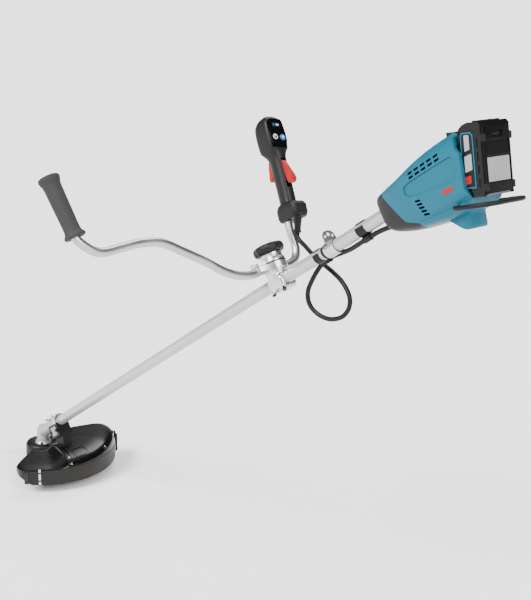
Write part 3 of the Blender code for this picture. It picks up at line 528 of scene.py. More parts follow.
def shaft_and_gear_case():
    r, wall = TUBE_R, TUBE_WALL
    tube = lathe("tube_skin", [(r - wall, TUBE_FRONT), (r - 0.4, TUBE_FRONT), (r, TUBE_FRONT + 0.4),
            (r, TUBE_REAR - 0.4), (r - 0.4, TUBE_REAR), (r - wall, TUBE_REAR)], ALONG, "tube", 72)
    piece(tube, "frame", "shaft_tube")

    dome = lathe("gear_case_skin", [(0, 23), (5, 22.7), (9.5, 21.2), (13.2, 18.4), (16, 14.4),
            (17.5, 9.5), (18, 3), (18, -14), (18.4, -20), (18.8, -24), (0, -24)], GEAR, "cast", 72)
    sleeve = lathe("sleeve", [(0, 0), (16.5, 0), (17.8, 14), (18.5, 26), (18.2, 31), (17.4, 34),
            (17.2, 72), (17.9, 74), (17.9, 98), (17.0, 102), (15.2, 103), (0, 103)], DRIVE, "cast", 72)
    web = prism("web", rounded([(4, 14), (40, 28), (40, 10), (4, 2)], 2), -2.2, 2.2, GEAR, "cast")
    case = join(dome, sleeve, web)
    case = cut(case, rod("bore", TUBE_R + 0.3, 42, 140, DRIVE, "hollow", 48),
            lathe("room", [(0, 17), (9, 15), (14.6, 8), (15.2, 0), (15.2, -30), (0, -30)], GEAR, "hollow",
            48), rod("throat", 11.2, 2, 60, DRIVE))
    piece(case, "frame", "gear_case", edge=0.5, smooth=32)

    # bright pinch ears over the sleeve's end, with their cross screws
    for i, s in enumerate((-1138, -1103), 1):
        ear = prism("pinch_ear",
                rounded([(s - 7, 12), (s + 7, 12), (s + 8, 20), (s + 4, 25.5), (s - 4, 25.5),
                (s - 8, 20)], 2.5), -9.5, 9.5, SHAFT, "bright")
        slot = block("split", (s - 20, s + 20), (-0.9, 0.9), (19.5, 40), SHAFT)
        ear.name = f"pinch_ear_{i}"
        piece(cut(ear, slot, rod("bore", TUBE_R + 2.5, s - 30, s + 30, ALONG, "hollow", 48)), "frame",
                edge=0.5)
        socket_screw(f"pinch_screw_{i}", axes(at(s, 0, 21.6), U, -Y), 3.1, 9.6, 12.6, "frame", "steel")

    flange = lathe("gear_flange_skin", [(15.6, -24.3), (18.8, -24.3), (20.5, -25.6), (22.4, -28),
            (24.4, -31.4), (27, -35), (28.6, -38.6), (29, -41), (29, -43.2), (6.5, -43.2), (6.5, -39),
            (15.6, -36)], GEAR, "flange", 72)
    seats = [rod("seat", 4.9, -33.5, -20, shifted(GEAR, x, y, 0), "flange", 24) for x, y in FLANGE_SCREWS]
    bores = [rod("bore", 2.6, -44, -20, shifted(GEAR, x, y, 0), "hollow", 16) for x, y in FLANGE_SCREWS]
    piece(cut(flange, *seats, *bores), "frame", "gear_flange", edge=0.4)
    for i, (x, y) in enumerate(FLANGE_SCREWS, 1):
        socket_screw(f"flange_cap_{i}", shifted(GEAR, x, y, 0), 4.2, -33.2, -29.4, "frame", "black_steel",
                f"flange_screw_{i}")
    for i, (x, y) in enumerate(((17, 17), (-17, -17))):
        socket_screw(f"flange_cap_{i + 3}", shifted(GEAR, x, y, 0), 3.4, -34.0, -29.8, "frame",
                "black_steel")
    for node, mat in (("drive_shaft", "steel"), ("pinion", "steel"), ("bevel_wheel", "steel"),
            ("output_spindle", "steel"), ("shaft_bushing_1", "rubber"), ("shaft_bushing_2", "rubber")):
        dress(node, mat, smooth=25 if node in ("pinion", "bevel_wheel") else 40)


# ---------------------------------------------------------------- cutting head
def cutting_head():
    top, low = HEAD_TOP, HEAD_LOW
    outer = [(4.5, top - 1), (18, top), (26, top - 0.8), (34, top - 2.6), (41, top - 5.4),
            (46.5, top - 9), (50, top - 13), (51.6, top - 17), (HEAD_R, top - 21), (HEAD_R, low + 16),
            (51.2, low + 13), (49, low + 12)]
    inner = [(47, low + 12), (47, top - 18), (44, top - 12.5), (34, top - 6.5), (20, top - 4),
            (4.5, top - 4)]

    def ribs(a, r, z):
        return r - (0.9 if z < low + 16.5 and r > 50 and math.cos(12 * a) > 0.35 else 0.0)
    body = lathe("head_body_skin", outer + inner, GEAR, "grey", 96, ribs)
    slots = [block("eye", (30, 60), (-3.4, 3.4), (LINE_Z - 3.4, LINE_Z + 3.4), about_spindle(a))
            for a in LINE_ANGLES]
    piece(cut(body, *slots), "output", "head_body")
    for i, a in enumerate(LINE_ANGLES, 1):
        place = shifted(GEAR, 0, 0, LINE_Z, a) @ Matrix.Rotation(math.radians(90), 4, "Y")
        eyelet = lathe(f"line_eyelet_{i}", [(1.7, 47.5), (3.2, 47.5), (3.2, 51.6), (4.3, 52.3),
                (4.1, 53.4), (2.6, 53.6), (1.7, 52.4)], place, "steel", 28)
        piece(eyelet, "output")

    def grips(a, r, z):
        return r - (1.1 if 38 < r < 49 and math.cos(10 * a) > 0.2 else 0.0)
    cover = lathe("head_cover_skin", [(HEAD_R - 3.4, low + 11.4), (50.4, low + 8), (49.6, low + 5),
            (47.4, low + 1.6), (44, low), (26, low), (26, low + 3), (42, low + 3.4), (45, low + 11.4)],
            GEAR, "grey", 120, grips)
    piece(cover, "output", "head_cover")

    def dimples(a, r, z):
        return r - (1.3 if 12 < r < 25 and math.cos(8 * a) > 0.3 and z < low + 4 else 0.0)
    knob = lathe("bump_knob_skin", [(0, low - 16), (8, low - 15.8), (13, low - 15), (18, low - 12.4),
            (21.5, low - 8), (24, low - 2), (24.6, low + 5), (27.6, low + 6), (27.6, low + 9),
            (0, low + 9)], GEAR, "matte_black", 96, dimples)
    piece(knob, "bump", "bump_knob")
    dress("line_spool", "matte_black")
    for i, a in enumerate(reversed(LINE_ANGLES), 1):
        def hang(x):
            return LINE_Z - 3.15 * ((x - 41) / 162.0) ** 2
        path = [(x, 0, hang(x)) for x in range(41, 204, 6)]
        line = sweep(f"nylon_line_skin_{i}", path, 1.3, about_spindle(a), "nylon", 12)
        piece(line, "output", f"nylon_line_{i}")
    # the wound line seen through the slots
    turns = [lathe("turn", [(21, z - 1.2), (36.5, z - 1.2), (37.4, z), (36.5, z + 1.2), (21, z + 1.2)],
            GEAR, "nylon", 48) for z in range(int(low + 18), int(top - 14), 3)]
    piece(gather("wound_line", *turns), "output")


# ---------------------------------------------------------------- guard
def top_z(a):
    """Height of the guard's top at sweep angle a, low at the front left."""
    stops = ((GUARD_FROM, -28.5), (-29, -25.5), (-11, -9.5), (8, -5), (36, 1), (GUARD_TO, 0))
    for (a0, z0), (a1, z1) in zip(stops, stops[1:]):
        if a <= a1:
            t = (a - a0) / (a1 - a0)
            t = t * t * (3 - 2 * t)
            return z0 + (z1 - z0) * t
    return stops[-1][1]


def end_pull(a):
    """How far the rim is drawn in near the two ends of the guard."""
    first = 26.0 * (1 - min(max(a - GUARD_FROM, 0.0) / 11.0, 1.0)) ** 2
    return max(first, 4.5 * (1 - min(max(GUARD_TO - a, 0.0) / 9.0, 1.0)) ** 2)


def guard_rim(a):
    return GUARD_R - end_pull(a)


def guard_drop(a):
    """How deep the guard's edges roll over, shallower where its top lies low."""
    return min(1.0, (top_z(a) - SEAM_Z - 1) / 21.0)


def guard_outer(a):
    """Upper skin of the guard at sweep angle a, from its inner edge out to the seam."""
    t, r = top_z(a), guard_rim(a)
    inner, d = GUARD_INNER, guard_drop(a)
    pts = [(inner, t - 9 * d), (inner + 2.5, t - 6 * d), (inner + 8, t - 2.5 * d),
            (inner + 15, t - 0.6 * d), (inner + 26, t), (r - 60, t), (r - 48, t - 0.5 * d),
            (r - 36, t - 2.2 * d), (r - 25, t - 5 * d), (r - 16, t - 8.6 * d), (r - 9, t - 13 * d),
            (r - 4.6, t - 17.5 * d)]
    mid = (t - 17.5 * d) * 0.6 + SEAM_Z * 0.4
    return pts + [(r - 1.5, mid), (r - 0.5, (mid + SEAM_Z) / 2), (r, SEAM_Z)]


def guard_inner(a):
    t, r = top_z(a), guard_rim(a)
    inner, d = GUARD_INNER, guard_drop(a)
    return [(r - 3, SEAM_Z), (r - 4.4, (t - 17 * d + SEAM_Z) / 2 - 1), (r - 11.4, t - 13 * d - 2),
            (r - 26, t - 5 * d - 3), (r - 48, t - 0.5 * d - 3), (inner + 26, t - 3),
            (inner + 9.6, t - 2.4 * d - 3), (inner + 2.6, t - 7.4 * d - 3)]


def polar(section, a):
    """(radius, z) points turned by a degrees about the spindle."""
    c, s = math.cos(math.radians(a)), math.sin(math.radians(a))
    return [(r * c, r * s, z) for r, z in section]


def sweep_angles(a0, a1, count):
    return [a0 + (a1 - a0) * k / count for k in range(count + 1)]


def on_guard(a, share, lift):
    """Point on the guard's upper skin: sweep angle, share of the way out, height above the skin."""
    pts = guard_outer(a)
    x = share * (len(pts) - 1)
    k = min(int(x), len(pts) - 2)
    t = x - k
    (r0, z0), (r1, z1) = pts[k], pts[k + 1]
    dr, dz = r1 - r0, z1 - z0
    size = math.hypot(dr, dz) or 1
    return r0 + dr * t - dz / size * lift, z0 + dz * t + dr / size * lift


def guard_ridge(name, stations, width, lift, mat):
    """Raised bead over the guard's skin through (angle, share) stations."""
    rings = []
    for a, share in stations:
        low = on_guard(a, share, -0.6)
        high = on_guard(a, share, lift)
        turn = math.degrees(width / low[0])
        rings.append([*polar([low], a - turn), *polar([high], a - turn * 0.5),
                *polar([high], a + turn * 0.5), *polar([low], a + turn)])
    return loft(name, rings, GEAR, mat)


def guard():
    angles = sweep_angles(GUARD_FROM, GUARD_TO, 96)
    shell = loft("guard_shell_skin", [polar(guard_outer(a) + guard_inner(a), a) for a in angles], GEAR,
            "guard")
    piece(shell, "frame", "guard_shell", smooth=40)

    def strip(a):
        r = guard_rim(a)
        low = SKIRT_Z + 38.0 * (1 - min(max(a - GUARD_FROM, 0) / 15.0, 1.0)) ** 1.2
        low += 3.0 if a < -33.5 else 0.0
        mid = (SEAM_Z + low) / 2
        return [(r + 1.4, SEAM_Z - 0.5), (r + 1.3, mid + 8), (r + 1.0, mid), (r, mid - 12),
                (r - 1.0, low + 0.8), (r - 1.8, low), (r - 3.2, low), (r - 3.6, low + 0.8),
                (r - 1.6, mid), (r - 1.2, SEAM_Z - 0.5)]
    skirt = loft("guard_skirt_skin",
            [polar(strip(a), a) for a in sorted(sweep_angles(GUARD_FROM, GUARD_TO, 96) + [-33.6, -33.4])],
            GEAR, "skirt")
    piece(skirt, "frame", "guard_skirt", smooth=35)

    # bead where guard and skirt meet, ribs, pocket rim and screw bosses on top
    bead = loft("seam_bead",
            [polar([(guard_rim(a) + 0.1, SEAM_Z - 0.6), (guard_rim(a) + 1.7, SEAM_Z - 0.2),
            (guard_rim(a) + 1.9, SEAM_Z + 0.7), (guard_rim(a) + 0.9, SEAM_Z + 1.5),
            (guard_rim(a) - 0.6, SEAM_Z + 1.4)], a) for a in sweep_angles(GUARD_FROM + 0.4, -18, 48)],
            GEAR, "black")
    piece(bead, "frame")
    ridges = []
    for a in (-13.5, -8.5):
        ridges.append(guard_ridge("rib", [(a, 0.30 + 0.035 * k) for k in range(20)], 1.6, 2.2, "black"))
    pocket = [(-4.0, 0.42), (-4.0, 0.62), (9.0, 0.62), (9.0, 0.42)]
    for (a0, s0), (a1, s1) in zip(pocket, pocket[1:] + pocket[:1]):
        if a0 == a1:
            ridges.append(guard_ridge("rib", [(a0, s0 + (s1 - s0) * k / 8) for k in range(9)], 0.9, 1.4,
                    "black"))
        else:
            rings = []
            for a in sweep_angles(min(a0, a1), max(a0, a1), 12):
                rings.append(polar([on_guard(a, s0 - 0.012, -0.6), on_guard(a, s0 - 0.006, 1.4),
                        on_guard(a, s0 + 0.006, 1.4), on_guard(a, s0 + 0.012, -0.6)], a))
            ridges.append(loft("rib", rings, GEAR, "black"))
    piece(gather("guard_ribs", *ridges), "frame", smooth=30)
    for i, (a, share) in enumerate(((-11, 0.60), (-11, 0.80), (26, 0.74), (58, 0.72)), 1):
        r, z = on_guard(a, share, 0)
        r2, z2 = on_guard(a, share, 1)
        outward = Vector((r2 - r, 0, z2 - z))
        spot = GEAR @ Matrix.Rotation(math.radians(a), 4, "Z")
        place = within(spot, (r, 0, z), (0, 1, 0), outward)
        boss = lathe(f"guard_boss_{i}", [(0, -1), (7.5, -1), (7.0, 1.2), (6.2, 1.9), (0, 1.9)], place,
                "black", 40)
        piece(boss, "frame")
        socket_screw(f"guard_screw_{i}", place, 3.4, 1.9, 4.2, "frame", "steel")

    # two clips at the right-hand end of the skirt
    for k, (a, drop) in enumerate(((58, 0), (67, -4)), 1):
        turned = about_spindle(a)
        r = guard_rim(a)
        hook = post(f"skirt_clip_{k}",
                rounded([(r - 1, -10), (r + 6.5, -7.5), (r + 6.5, 7.5), (r - 1, 10)], 2), -72 + drop,
                -22 + drop, turned, "black")
        piece(hook, "frame", edge=0.7)

    turned = about_spindle(CUTTER_ANGLE)
    blade = block("line_cutter_skin", (GUARD_R + 1.9, GUARD_R + 3.3), (-6, 6), (-73.4, -40), turned,
            "black_steel")
    hook = post("hook", [(GUARD_R - 6.5, -2), (GUARD_R + 2.6, -5.5), (GUARD_R + 2.6, 5.5)], -75.0, -72.8,
            turned, "black_steel")
    piece(join(blade, hook), "frame", "line_cutter", edge=0.2)
    turned = about_spindle(STRIP_ANGLE)
    strip_plate = post("skirt_strip",
            rounded([(GUARD_R - 0.5, -3.6), (GUARD_R + 2.4, -3.0), (GUARD_R + 2.4, 3.0),
            (GUARD_R - 0.5, 3.6)], 0.8), -76, -31, turned, "bright")
    piece(strip_plate, "frame", edge=0.3)
    for k, z in enumerate((-44, -68), 1):
        mark = post(f"strip_mark_{k}", [(GUARD_R + 2, -2.9), (GUARD_R + 2.9, -2.9), (GUARD_R + 2.9, 2.9),
                (GUARD_R + 2, 2.9)], z, z + 5, turned, "black_steel")
        piece(mark, "frame")
    saddle = block("guard_bracket_skin", (-1124, -1077), (-21, 21), (-43, -4), SHAFT, "matte_black")
    gusset = prism("gusset",
            rounded([(-1121, -34), (-1082, -26), (-1076, -36), (-1084, -60), (-1091, -82), (-1106, -74),
            (-1122, -50)], 4), -12, 12, SHAFT, "matte_black")
    over_guard = loft("clear",
            [polar([(r, z + 0.3) for r, z in guard_outer(a)] + [(GUARD_R, -120), (60, -120)], a)
            for a in range(-30, 31, 4)], GEAR, "matte_black")
    bracket = cut(join(saddle, gusset), rod("room", 18.0, -1200, -1090.5, ALONG, "matte_black", 64),
            rod("room", TUBE_R + 0.4, -1095, -1000, ALONG, "matte_black", 64), over_guard,
            *[rod("hole", 2.9, -24, 24, axes(at(s, 0, -24), U, Y), "hollow", 24) for s in (-1116, -1085)])
    piece(bracket, "frame", "guard_bracket", edge=1.2, smooth=30)

    hood = lathe("head_hood", [(24.5, -31.6), (30, -29.2), (36, -27.9), (42, -28.0), (47.5, -30),
            (50.4, -33.5), (51.4, -38), (51.8, -56), (50.3, -56), (49.8, -38.5), (48.8, -34.6),
            (46.4, -31.8), (41.6, -30), (36, -30.2), (24.5, -33.6)], GEAR, "matte_black", 96)
    piece(hood, "frame", slot="gloss_black")
    saddle = at(-1100.5, -21.2, -23.5)
    plate = post("bracket_plate", rounded([(-13, -13), (13, -13), (13, 13), (-13, 13)], 1.5), 0, 0.7,
            axes(saddle, U, -Y), "label")
    piece(plate, "frame", edge=0.2)
    strap = loft("bracket_strap",
            [[(s, 22.4 * math.cos(a), -1 + 22.4 * math.sin(a))
            for a in (math.radians(v) for v in range(-10, 191, 10))]
            + [(s, 20.4 * math.cos(a), -1 + 20.4 * math.sin(a))
            for a in (math.radians(v) for v in range(190, -11, -10))] for s in (-1094, -1079)], SHAFT,
            "bright")
    piece(strap, "frame", edge=0.4)
    for i, s in enumerate((-1116, -1085), 1):
        dress(f"bracket_screw_{i}", "black_steel", 0.3)


# ---------------------------------------------------------------- handle clamp
CLAMP_SCREWS = ((-17, -18.5), (21, -18.5))


def squircle(cx, a, b, power, count=72):
    """Rounded section with half sizes a and b; power 2 is an ellipse."""
    pts = []
    for k in range(count):
        t = 2 * math.pi * (k + 0.5) / count
        c, s = math.cos(t), math.sin(t)
        pts.append((cx + a * math.copysign(abs(c) ** (2 / power), c),
                b * math.copysign(abs(s) ** (2 / power), s)))
    return pts


def stack(name, rows, place, mat):
    """Loft of squircle rows (height, centre x, half x, half y, power)."""
    return loft(name, [[(x, y, z) for x, y in squircle(cx, a, b, p)] for z, cx, a, b, p in rows], place,
            mat)


def hex_screw(name, place, r, low, high, body, *replaced):
    """Hexagon head on a washer, its shank hidden in the work."""
    head = post(name, hexagon(r), low + 1.0, high, place, "black_steel")
    washer = rod("washer", r + 0.8, low, low + 1.1, place, "black_steel", 40, 0.2)
    dimple = lathe("dimple", [(0, high - 0.8), (r * 0.45, high), (r * 0.45, high + 1), (0, high + 1)],
            place, "black_steel", 24)
    return piece(gather(name, cut(head, dimple), washer), body, *replaced, edge=0.35)


def clamp_holes(low, high):
    return [rod("hole", 2.9, low, high, shifted(SHAFT, x, y, 0), "hollow", 24) for x, y in CLAMP_SCREWS]


def handle_clamp():
    tube_room = [rod("room", TUBE_R + 0.3, -60, 60, ALONG, "bright", 64) for _ in range(2)]
    cap = stack("clamp_cap_skin", [(-23, 2, 20, 19, 4), (-22.4, 2, 22, 20.6, 4.4),
            (-19, 2, 24.6, 22.6, 5), (-12, 2, 25.8, 23.8, 5.5), (-1.2, 2, 26, 24, 6)], SHAFT, "bright")
    notch = prism("notch", rounded([(-9, -30), (-6, -16.8), (12, -16.8), (15, -30)], 3), -30, -15, SHAFT,
            "bright")
    piece(cut(cap, tube_room[0], notch, *clamp_holes(-30, 2)), "frame", "clamp_cap", edge=0.45, smooth=30)

    base = stack("clamp_base_skin", [(-0.8, 2, 26, 24, 6), (3, 2, 26, 24, 6), (7.5, 2, 25, 23.4, 5),
            (11, 1.6, 23.4, 22.4, 3.6), (15, 1, 23.6, 22.8, 2.7), (18.5, 0.4, 25.6, 25.4, 2.2),
            (20.6, 0, 27.6, 27.6, 2), (24.0, 0, 28, 28, 2), (24.8, 0, 27.6, 27.6, 2)], SHAFT, "bright")
    base = cut(base, tube_room[1], rod("bore", 4.4, 10, 30, SHAFT), *clamp_holes(-2, 12))
    piece(base, "frame", "clamp_base", edge=0.4, smooth=30)
    for i, (x, y) in enumerate(CLAMP_SCREWS, 1):
        place = shifted(SHAFT, x, y, 0) @ Matrix.Rotation(math.pi, 4, "X")
        hex_screw(f"clamp_hex_{i}", place, 4.8, 23.1, 28.2, "frame", f"clamp_screw_{i}")

    middle = [p for p in bar_path(8) if abs(p[1]) < 95 and p[2] < 80]

    def ear(z0, z1, mat="bright"):
        outline = rounded([(-33, -14), (-31.5, -46), (-24, -51), (-6, -51), (1, -46), (8, -20), (8, -14)], 4)
        return post("ear", outline, z0, z1, SHAFT, mat)
    bolt = shifted(SHAFT, -28.5, -38, 0)
    grooves = [sweep("groove", middle, BAR_R + 0.35, SHAFT, "bright", 40) for _ in range(2)]
    low = lathe("bar_jaw_lower_skin", [(0, 25.2), (27, 25.2), (28.2, 26.2), (28.6, 29), (28.6, 41.2),
            (27.8, 42.2), (0, 42.2)], SHAFT, "bright", 80)
    low = cut(join(low, ear(30, 42.2)), grooves[0], rod("bore", 4.4, 20, 50, SHAFT),
            rod("hole", 2.6, 25, 50, bolt))
    piece(low, "bar", "bar_jaw_lower", edge=0.45, smooth=30)
    high = lathe("bar_jaw_upper_skin", [(0, 43.6), (27.6, 43.6), (28.4, 44.4), (28.4, 49), (27.6, 51),
            (26, 52.6), (25.5, 55), (25.5, 63.6), (24.4, 65.4), (0, 65.4)], SHAFT, "bright", 80)
    high = cut(join(high, ear(43.6, 50.5)), grooves[1], rod("bore", 4.4, 20, 70, SHAFT),
            rod("hole", 2.6, 40, 55, bolt))
    piece(high, "bar", "bar_jaw_upper", edge=0.45, smooth=30)
    gasket = lathe("jaw_gasket", [(24, 42.15), (28.8, 42.15), (28.8, 43.9), (24, 43.9)], SHAFT, "rubber", 80)
    slit = sweep("slit", middle, BAR_R + 0.3, SHAFT, "rubber", 32)
    piece(cut(gasket, slit), "bar")
    socket_screw("jaw_cap_screw", bolt, 4.2, 50.6, 55.2, "bar", "black_steel", "jaw_screw")


def clamp_knob():
    def lobes(a, r, z):
        return r - (1.7 * max(0.0, math.cos(7 * a)) ** 3 if r > 31 else 0.0)
    profile = [(0, 78), (11, 78), (13, 79.4), (15.4, 85), (17.5, 86.2), (28.6, 86), (32.4, 84.9),
            (34.6, 82.8), (35.8, 79.6), (36.1, 76), (35.7, 71), (34.2, 68), (32, 66.4), (28, 66.2),
            (4, 66.2), (4, 15.5), (0, 15.5)]
    piece(lathe("clamp_knob_skin", profile, SHAFT, "grey", 140, lobes), "knob", "clamp_knob", smooth=40)
    nut = post("knob_nut", hexagon(6.2), 78.0, 82.4, SHAFT, "steel")
    stud = rod("stud", 3.6, 78, 84.4, SHAFT, "steel", 32, 0.6)
    piece(gather("knob_nut", nut, stud), "knob", edge=0.3)


# ---------------------------------------------------------------- handlebar and plain grip
BAR_ROUTE = [(-8, -446, 147), (-8.4, -420, 139), (-8.3, -376, 142), (-8.1, -331, 145), (-8.3, -288, 142),
        (-9, -261, 133), (-10.6, -226, 112), (-12.3, -176, 81), (-14, -137, 53), (-15, -101, 36.5),
        (-15, -63, 31), (-15, -30, 35.8), (-15, 0, 36.5), (-15, 40, 36.5), (-15, 62, 39),
        (-14.4, 81, 47.5), (-13.4, 92, 64), (-12, 95.5, 84), (-10.6, 95, 104), (-9, 97, 124),
        (-5, 103, 148), (0.5, 109.6, 168), (2, 112.2, 180), (3.4, 115.0, 200)]


def bar_path(step):
    base, lean = Vector((-6.2, -473.0, 177.0)), Vector((GRIP_BACK, -GRIP_LEAN, 1.0))
    return curve_through([base + lean * t for t in (126, 66, 36, 12, -4)] + BAR_ROUTE, step)


def handlebar():
    piece(sweep("handlebar_skin", bar_path(8), BAR_R, SHAFT, "bar", 36), "bar", "handlebar")

    def flutes(a, r, z):
        return r - (0.45 * max(0.0, math.cos(18 * a)) if 18 < z < 116 and r > 15 else 0.0)
    profile = [(BAR_R + 0.4, 1), (20.2, 1), (21.8, 1.8), (23.0, 3.5), (22.9, 5.6), (22.0, 8), (19.6, 11),
            (18.2, 14), (17.5, 19), (17.2, 26)]
    profile += [(17.2 + 1.4 * ((z - 26) / 74.0), z) for z in range(32, 104, 6)]
    profile += [(18.6, 106), (18.9, 112), (19.6, 118), (21.2, 122), (22.8, 126), (23.3, 129), (22.9, 132),
            (21.4, 134.4), (18, 136), (0, 136.5), (0, 129), (BAR_R + 0.4, 129)]
    piece(lathe("plain_grip_skin", profile, GRIP_L, "soft", 144, flutes), "bar", "plain_grip", smooth=50)


# ---------------------------------------------------------------- control grip
GRIP_ROWS = [(0.4, -20, 20, 18, 2.4), (12, -19.5, 20, 17.6, 2.3), (70, -20, 20.5, 17.6, 2.3),
        (104, -20.5, 20.5, 18, 2.3), (118, -24, 20.5, 20, 2.6), (128, -29, 21, 24, 3.2),
        (136, -31, 21.5, 27.5, 4.6), (165, -31, 21.5, 29.5, 5.2), (190, -30.5, 21.0, 28.0, 5.2),
        (201, -28, 20.5, 26, 4.6), (211, -20, 16.5, 21, 3.8), (216.5, -10, 10, 14, 3.0)]


def in_grip(*points):
    return [tuple(GRIP_R.inverted() @ at(*p) / MM) for p in points]


def between_rows(rows, per_gap):
    """Rows of numbers joined by smooth curves through them."""
    out = []
    for i in range(len(rows) - 1):
        a = rows[max(i - 1, 0)]
        b, c = rows[i], rows[i + 1]
        d = rows[min(i + 2, len(rows) - 1)]
        for k in range(per_gap):
            t = k / per_gap
            out.append(tuple(0.5 * (2 * q + (r - p) * t + (2 * p - 5 * q + 4 * r - s) * t * t
                    + (3 * q - p - 3 * r + s) * t ** 3) for p, q, r, s in zip(a, b, c, d)))
    return out + [rows[-1]]


def control_grip():
    fine = between_rows(GRIP_ROWS, 4)

    def skin(name, inset, lo, hi, mat="hollow"):
        rings = []
        for z, x0, x1, w, p in fine:
            if lo <= z <= hi:
                ring_at = z - (inset if z > 210 else 0)
                rings.append([(x, y, ring_at) for x, y in squircle((x0 + x1) / 2, (x1 - x0) / 2 - inset,
                        w - inset, p, 64)])
        return loft(name, rings, GRIP_R, mat)
    body = skin("control", 0.0, 0, 220, "grey")
    socket = sweep("socket", in_grip((-9, 97, 124), (-5, 103, 148), (0.5, 109.6, 168), (2, 112.2, 180),
            (3.4, 115, 201)), BAR_R + 0.4, GRIP_R, "hollow", 32)
    tools = [skin("hollow", 2.6, 60, 208), socket, block("slot", (-40, -4), (-6.6, 6.6), (62, 122),
            GRIP_R), block("slot", (4, 40), (-7.6, 7.6), (36, 108), GRIP_R),
            block("seat", (17.4, 40), (-24, 24), (134, 206), GRIP_R)]
    body = cut(body, *tools)
    for half, side in zip(halves(body, ("control_skin_left", "control_skin_right"), (-90, 90), 60,
            (-20, 260), GRIP_R, "grey"), ("left", "right")):
        piece(half, "bar", f"control_shell_{side}", edge=0.3, smooth=42)
    for i, (z, x) in enumerate(((24, 2), (150, -22), (196, -8)), 1):
        half = 17.2 if z < 60 else 27.2 if z < 180 else 24.6
        place = within(GRIP_R, (x, half, z), (0, 0, 1), (0, 1, 0))
        socket_screw(f"control_screw_{i}", place, 2.6, -1.6, 0.9, "bar", "black_steel")

    dress("control_panel", "black", 0.8)
    # the indicator window gets the same near-black as the painted shade
    dress("indicator_window", "hollow", 0.3)
    for i in range(4):
        y = -7.5 + 5.0 * i
        lamp = block(f"charge_lamp_{i + 1}", (PANEL_X, PANEL_X + 0.35), (y - 1.5, y + 1.5),
                (188.8, 193.2), GRIP_R, "blue" if i < 2 else "white")
        piece(lamp, "bar", edge=0.1, slot="blue_plastic")

    place = panel_axes(-KEY_Y, KEY_Z)
    cap = lathe("power_key_skin", [(0, 15.4), (7.8, 15.4), (7.8, 23.0), (7.3, 24.0), (6.2, 24.4),
            (0, 24.2)], place, "matte_black", 56)
    piece(cap, "power_key", "power_button")
    ring_mark = lathe("power_ring", [(4.4, 24.2), (6.6, 24.2), (6.5, 24.9), (4.5, 24.9)], place, "white", 56)
    bar_mark = block("power_mark", (-0.2, 4.2), (-0.65, 0.65), (24.1, 24.9), place, "white")
    piece(gather("power_ring", ring_mark, bar_mark), "power_key", slot="white_plastic")
    place = panel_axes(KEY_Y, KEY_Z)
    cap = lathe("mode_key_skin", [(0, 15.4), (7.8, 15.4), (7.8, 23.0), (7.3, 24.0), (6.4, 24.6),
            (0, 24.8)], place, "blue", 56)
    piece(cap, "mode_key", "mode_button")
    rows = [block("mark", (-3.2, 3.2), (y - 0.55, y + 0.55), (24.6, 25.1), place, "white")
            for y in (-2, 0, 2)]
    piece(gather("mode_marks", *rows), "mode_key", slot="white_plastic")

    foot = stack("control_foot_skin", [(-41, 5, 25, 19, 4), (-39.5, 5.5, 29.5, 21.5, 5.5),
            (-32, 6, 33, 23, 6), (-12, 6.5, 33.5, 23, 6), (-4, 5.5, 30, 21.5, 5), (-0.2, 2, 24, 20, 3.6)],
            GRIP_R, "grey")
    foot = cut(foot, block("trim", (26, 60), (-40, 40), (-60, 20), shifted(GRIP_R, 36, 0, 8, -30, "Y"),
            "grey"), sweep("room", in_grip((-12, 95.5, 84), (-10.6, 95, 104), (-9, 97, 124),
            (-5, 103, 148), (0.5, 109.6, 168), (2, 112.2, 180), (3, 114, 192)), BAR_R + 0.4, GRIP_R,
            "hollow", 32), rod("gland", 7.4, 0, 60, STRAIN))
    piece(foot, "bar", "control_foot", edge=0.6, smooth=30)
    for i, z in enumerate((-30, -14), 1):
        place = within(GRIP_R, (-14, -22.6, z), (0, 0, 1), (0, -1, 0))
        socket_screw(f"foot_screw_{i}", place, 2.9, -1.2, 0.8, "bar", "black_steel")

    def rings(a, r, z):
        return r - (0.5 if 22 < z < 38 and int(z * 0.7) % 2 else 0.0)
    profile = [(0, -4), (7.0, -4), (7.0, 1), (10.2, 2), (10.2, 7), (9.0, 8)]
    profile += [(9.4 - 1.4 * (z - 10) / 29.0, z) for z in (10, 14, 18, 21, 22.5, 24, 25.5, 27, 28.5, 30,
            31.5, 33, 34.5, 36, 37.5, 39)]
    profile += [(8.9, 39.6), (8.9, 42.4), (7.4, 44)]
    piece(lathe("cable_gland_skin", profile + [(0, 44)], STRAIN, "rubber", 56, rings), "bar", "cable_gland")
    dress("trigger", "red", 0.7)
    dress("lock_off_lever", "red", 0.7)
    grooves = []
    for k in range(6):
        z = 52.0 + 6.0 * k
        x = 13 + 28.0 - 0.52 * (z - 50.0)
        grooves.append(prism("ridge",
                rounded([(x - 1.5, z - 1), (x + 0.9, z - 1), (x + 0.9, z + 1), (x - 1.5, z + 1)], 0.5),
                -5.6, 5.6, GRIP_R, "red"))
    piece(gather("lever_ridges", *grooves), "lock_off", slot="red_plastic")


# ---------------------------------------------------------------- hanger, clips, cable
def beside(s, turn):
    """Centre of the cable against the tube, turned from under it towards +Y by turn degrees."""
    a = math.radians(turn)
    return (s, -CABLE_H * math.sin(a), CABLE_H * math.cos(a))


CABLE_ROUTE = [(10.5, 95, 100.0), (5.5, 95, 92.4), (10, 94, 79), (21, 90.5, 64), (48, 76, 33),
        (90, 52, -4), (124, 37, -37), (144, 31, -67), (152, 27, -97), (148, 24, -117), (134, 22, -130),
        (112, 19, -135.5), (83, 16, -128), (61, 14, -111), (48, 12, -90), (46, 11, -70), (56, 11, -50),
        (76, 14, -34), (100, 18, -20), beside(124, 60), beside(143, 60), beside(162, 60), beside(190, 46),
        beside(222, 24), beside(254, 4), beside(276, 0), beside(300, 0), (320, 0, -22.7), (346, 0, -25.7),
        (368, 0, -30), (385, 0, -33.3)]


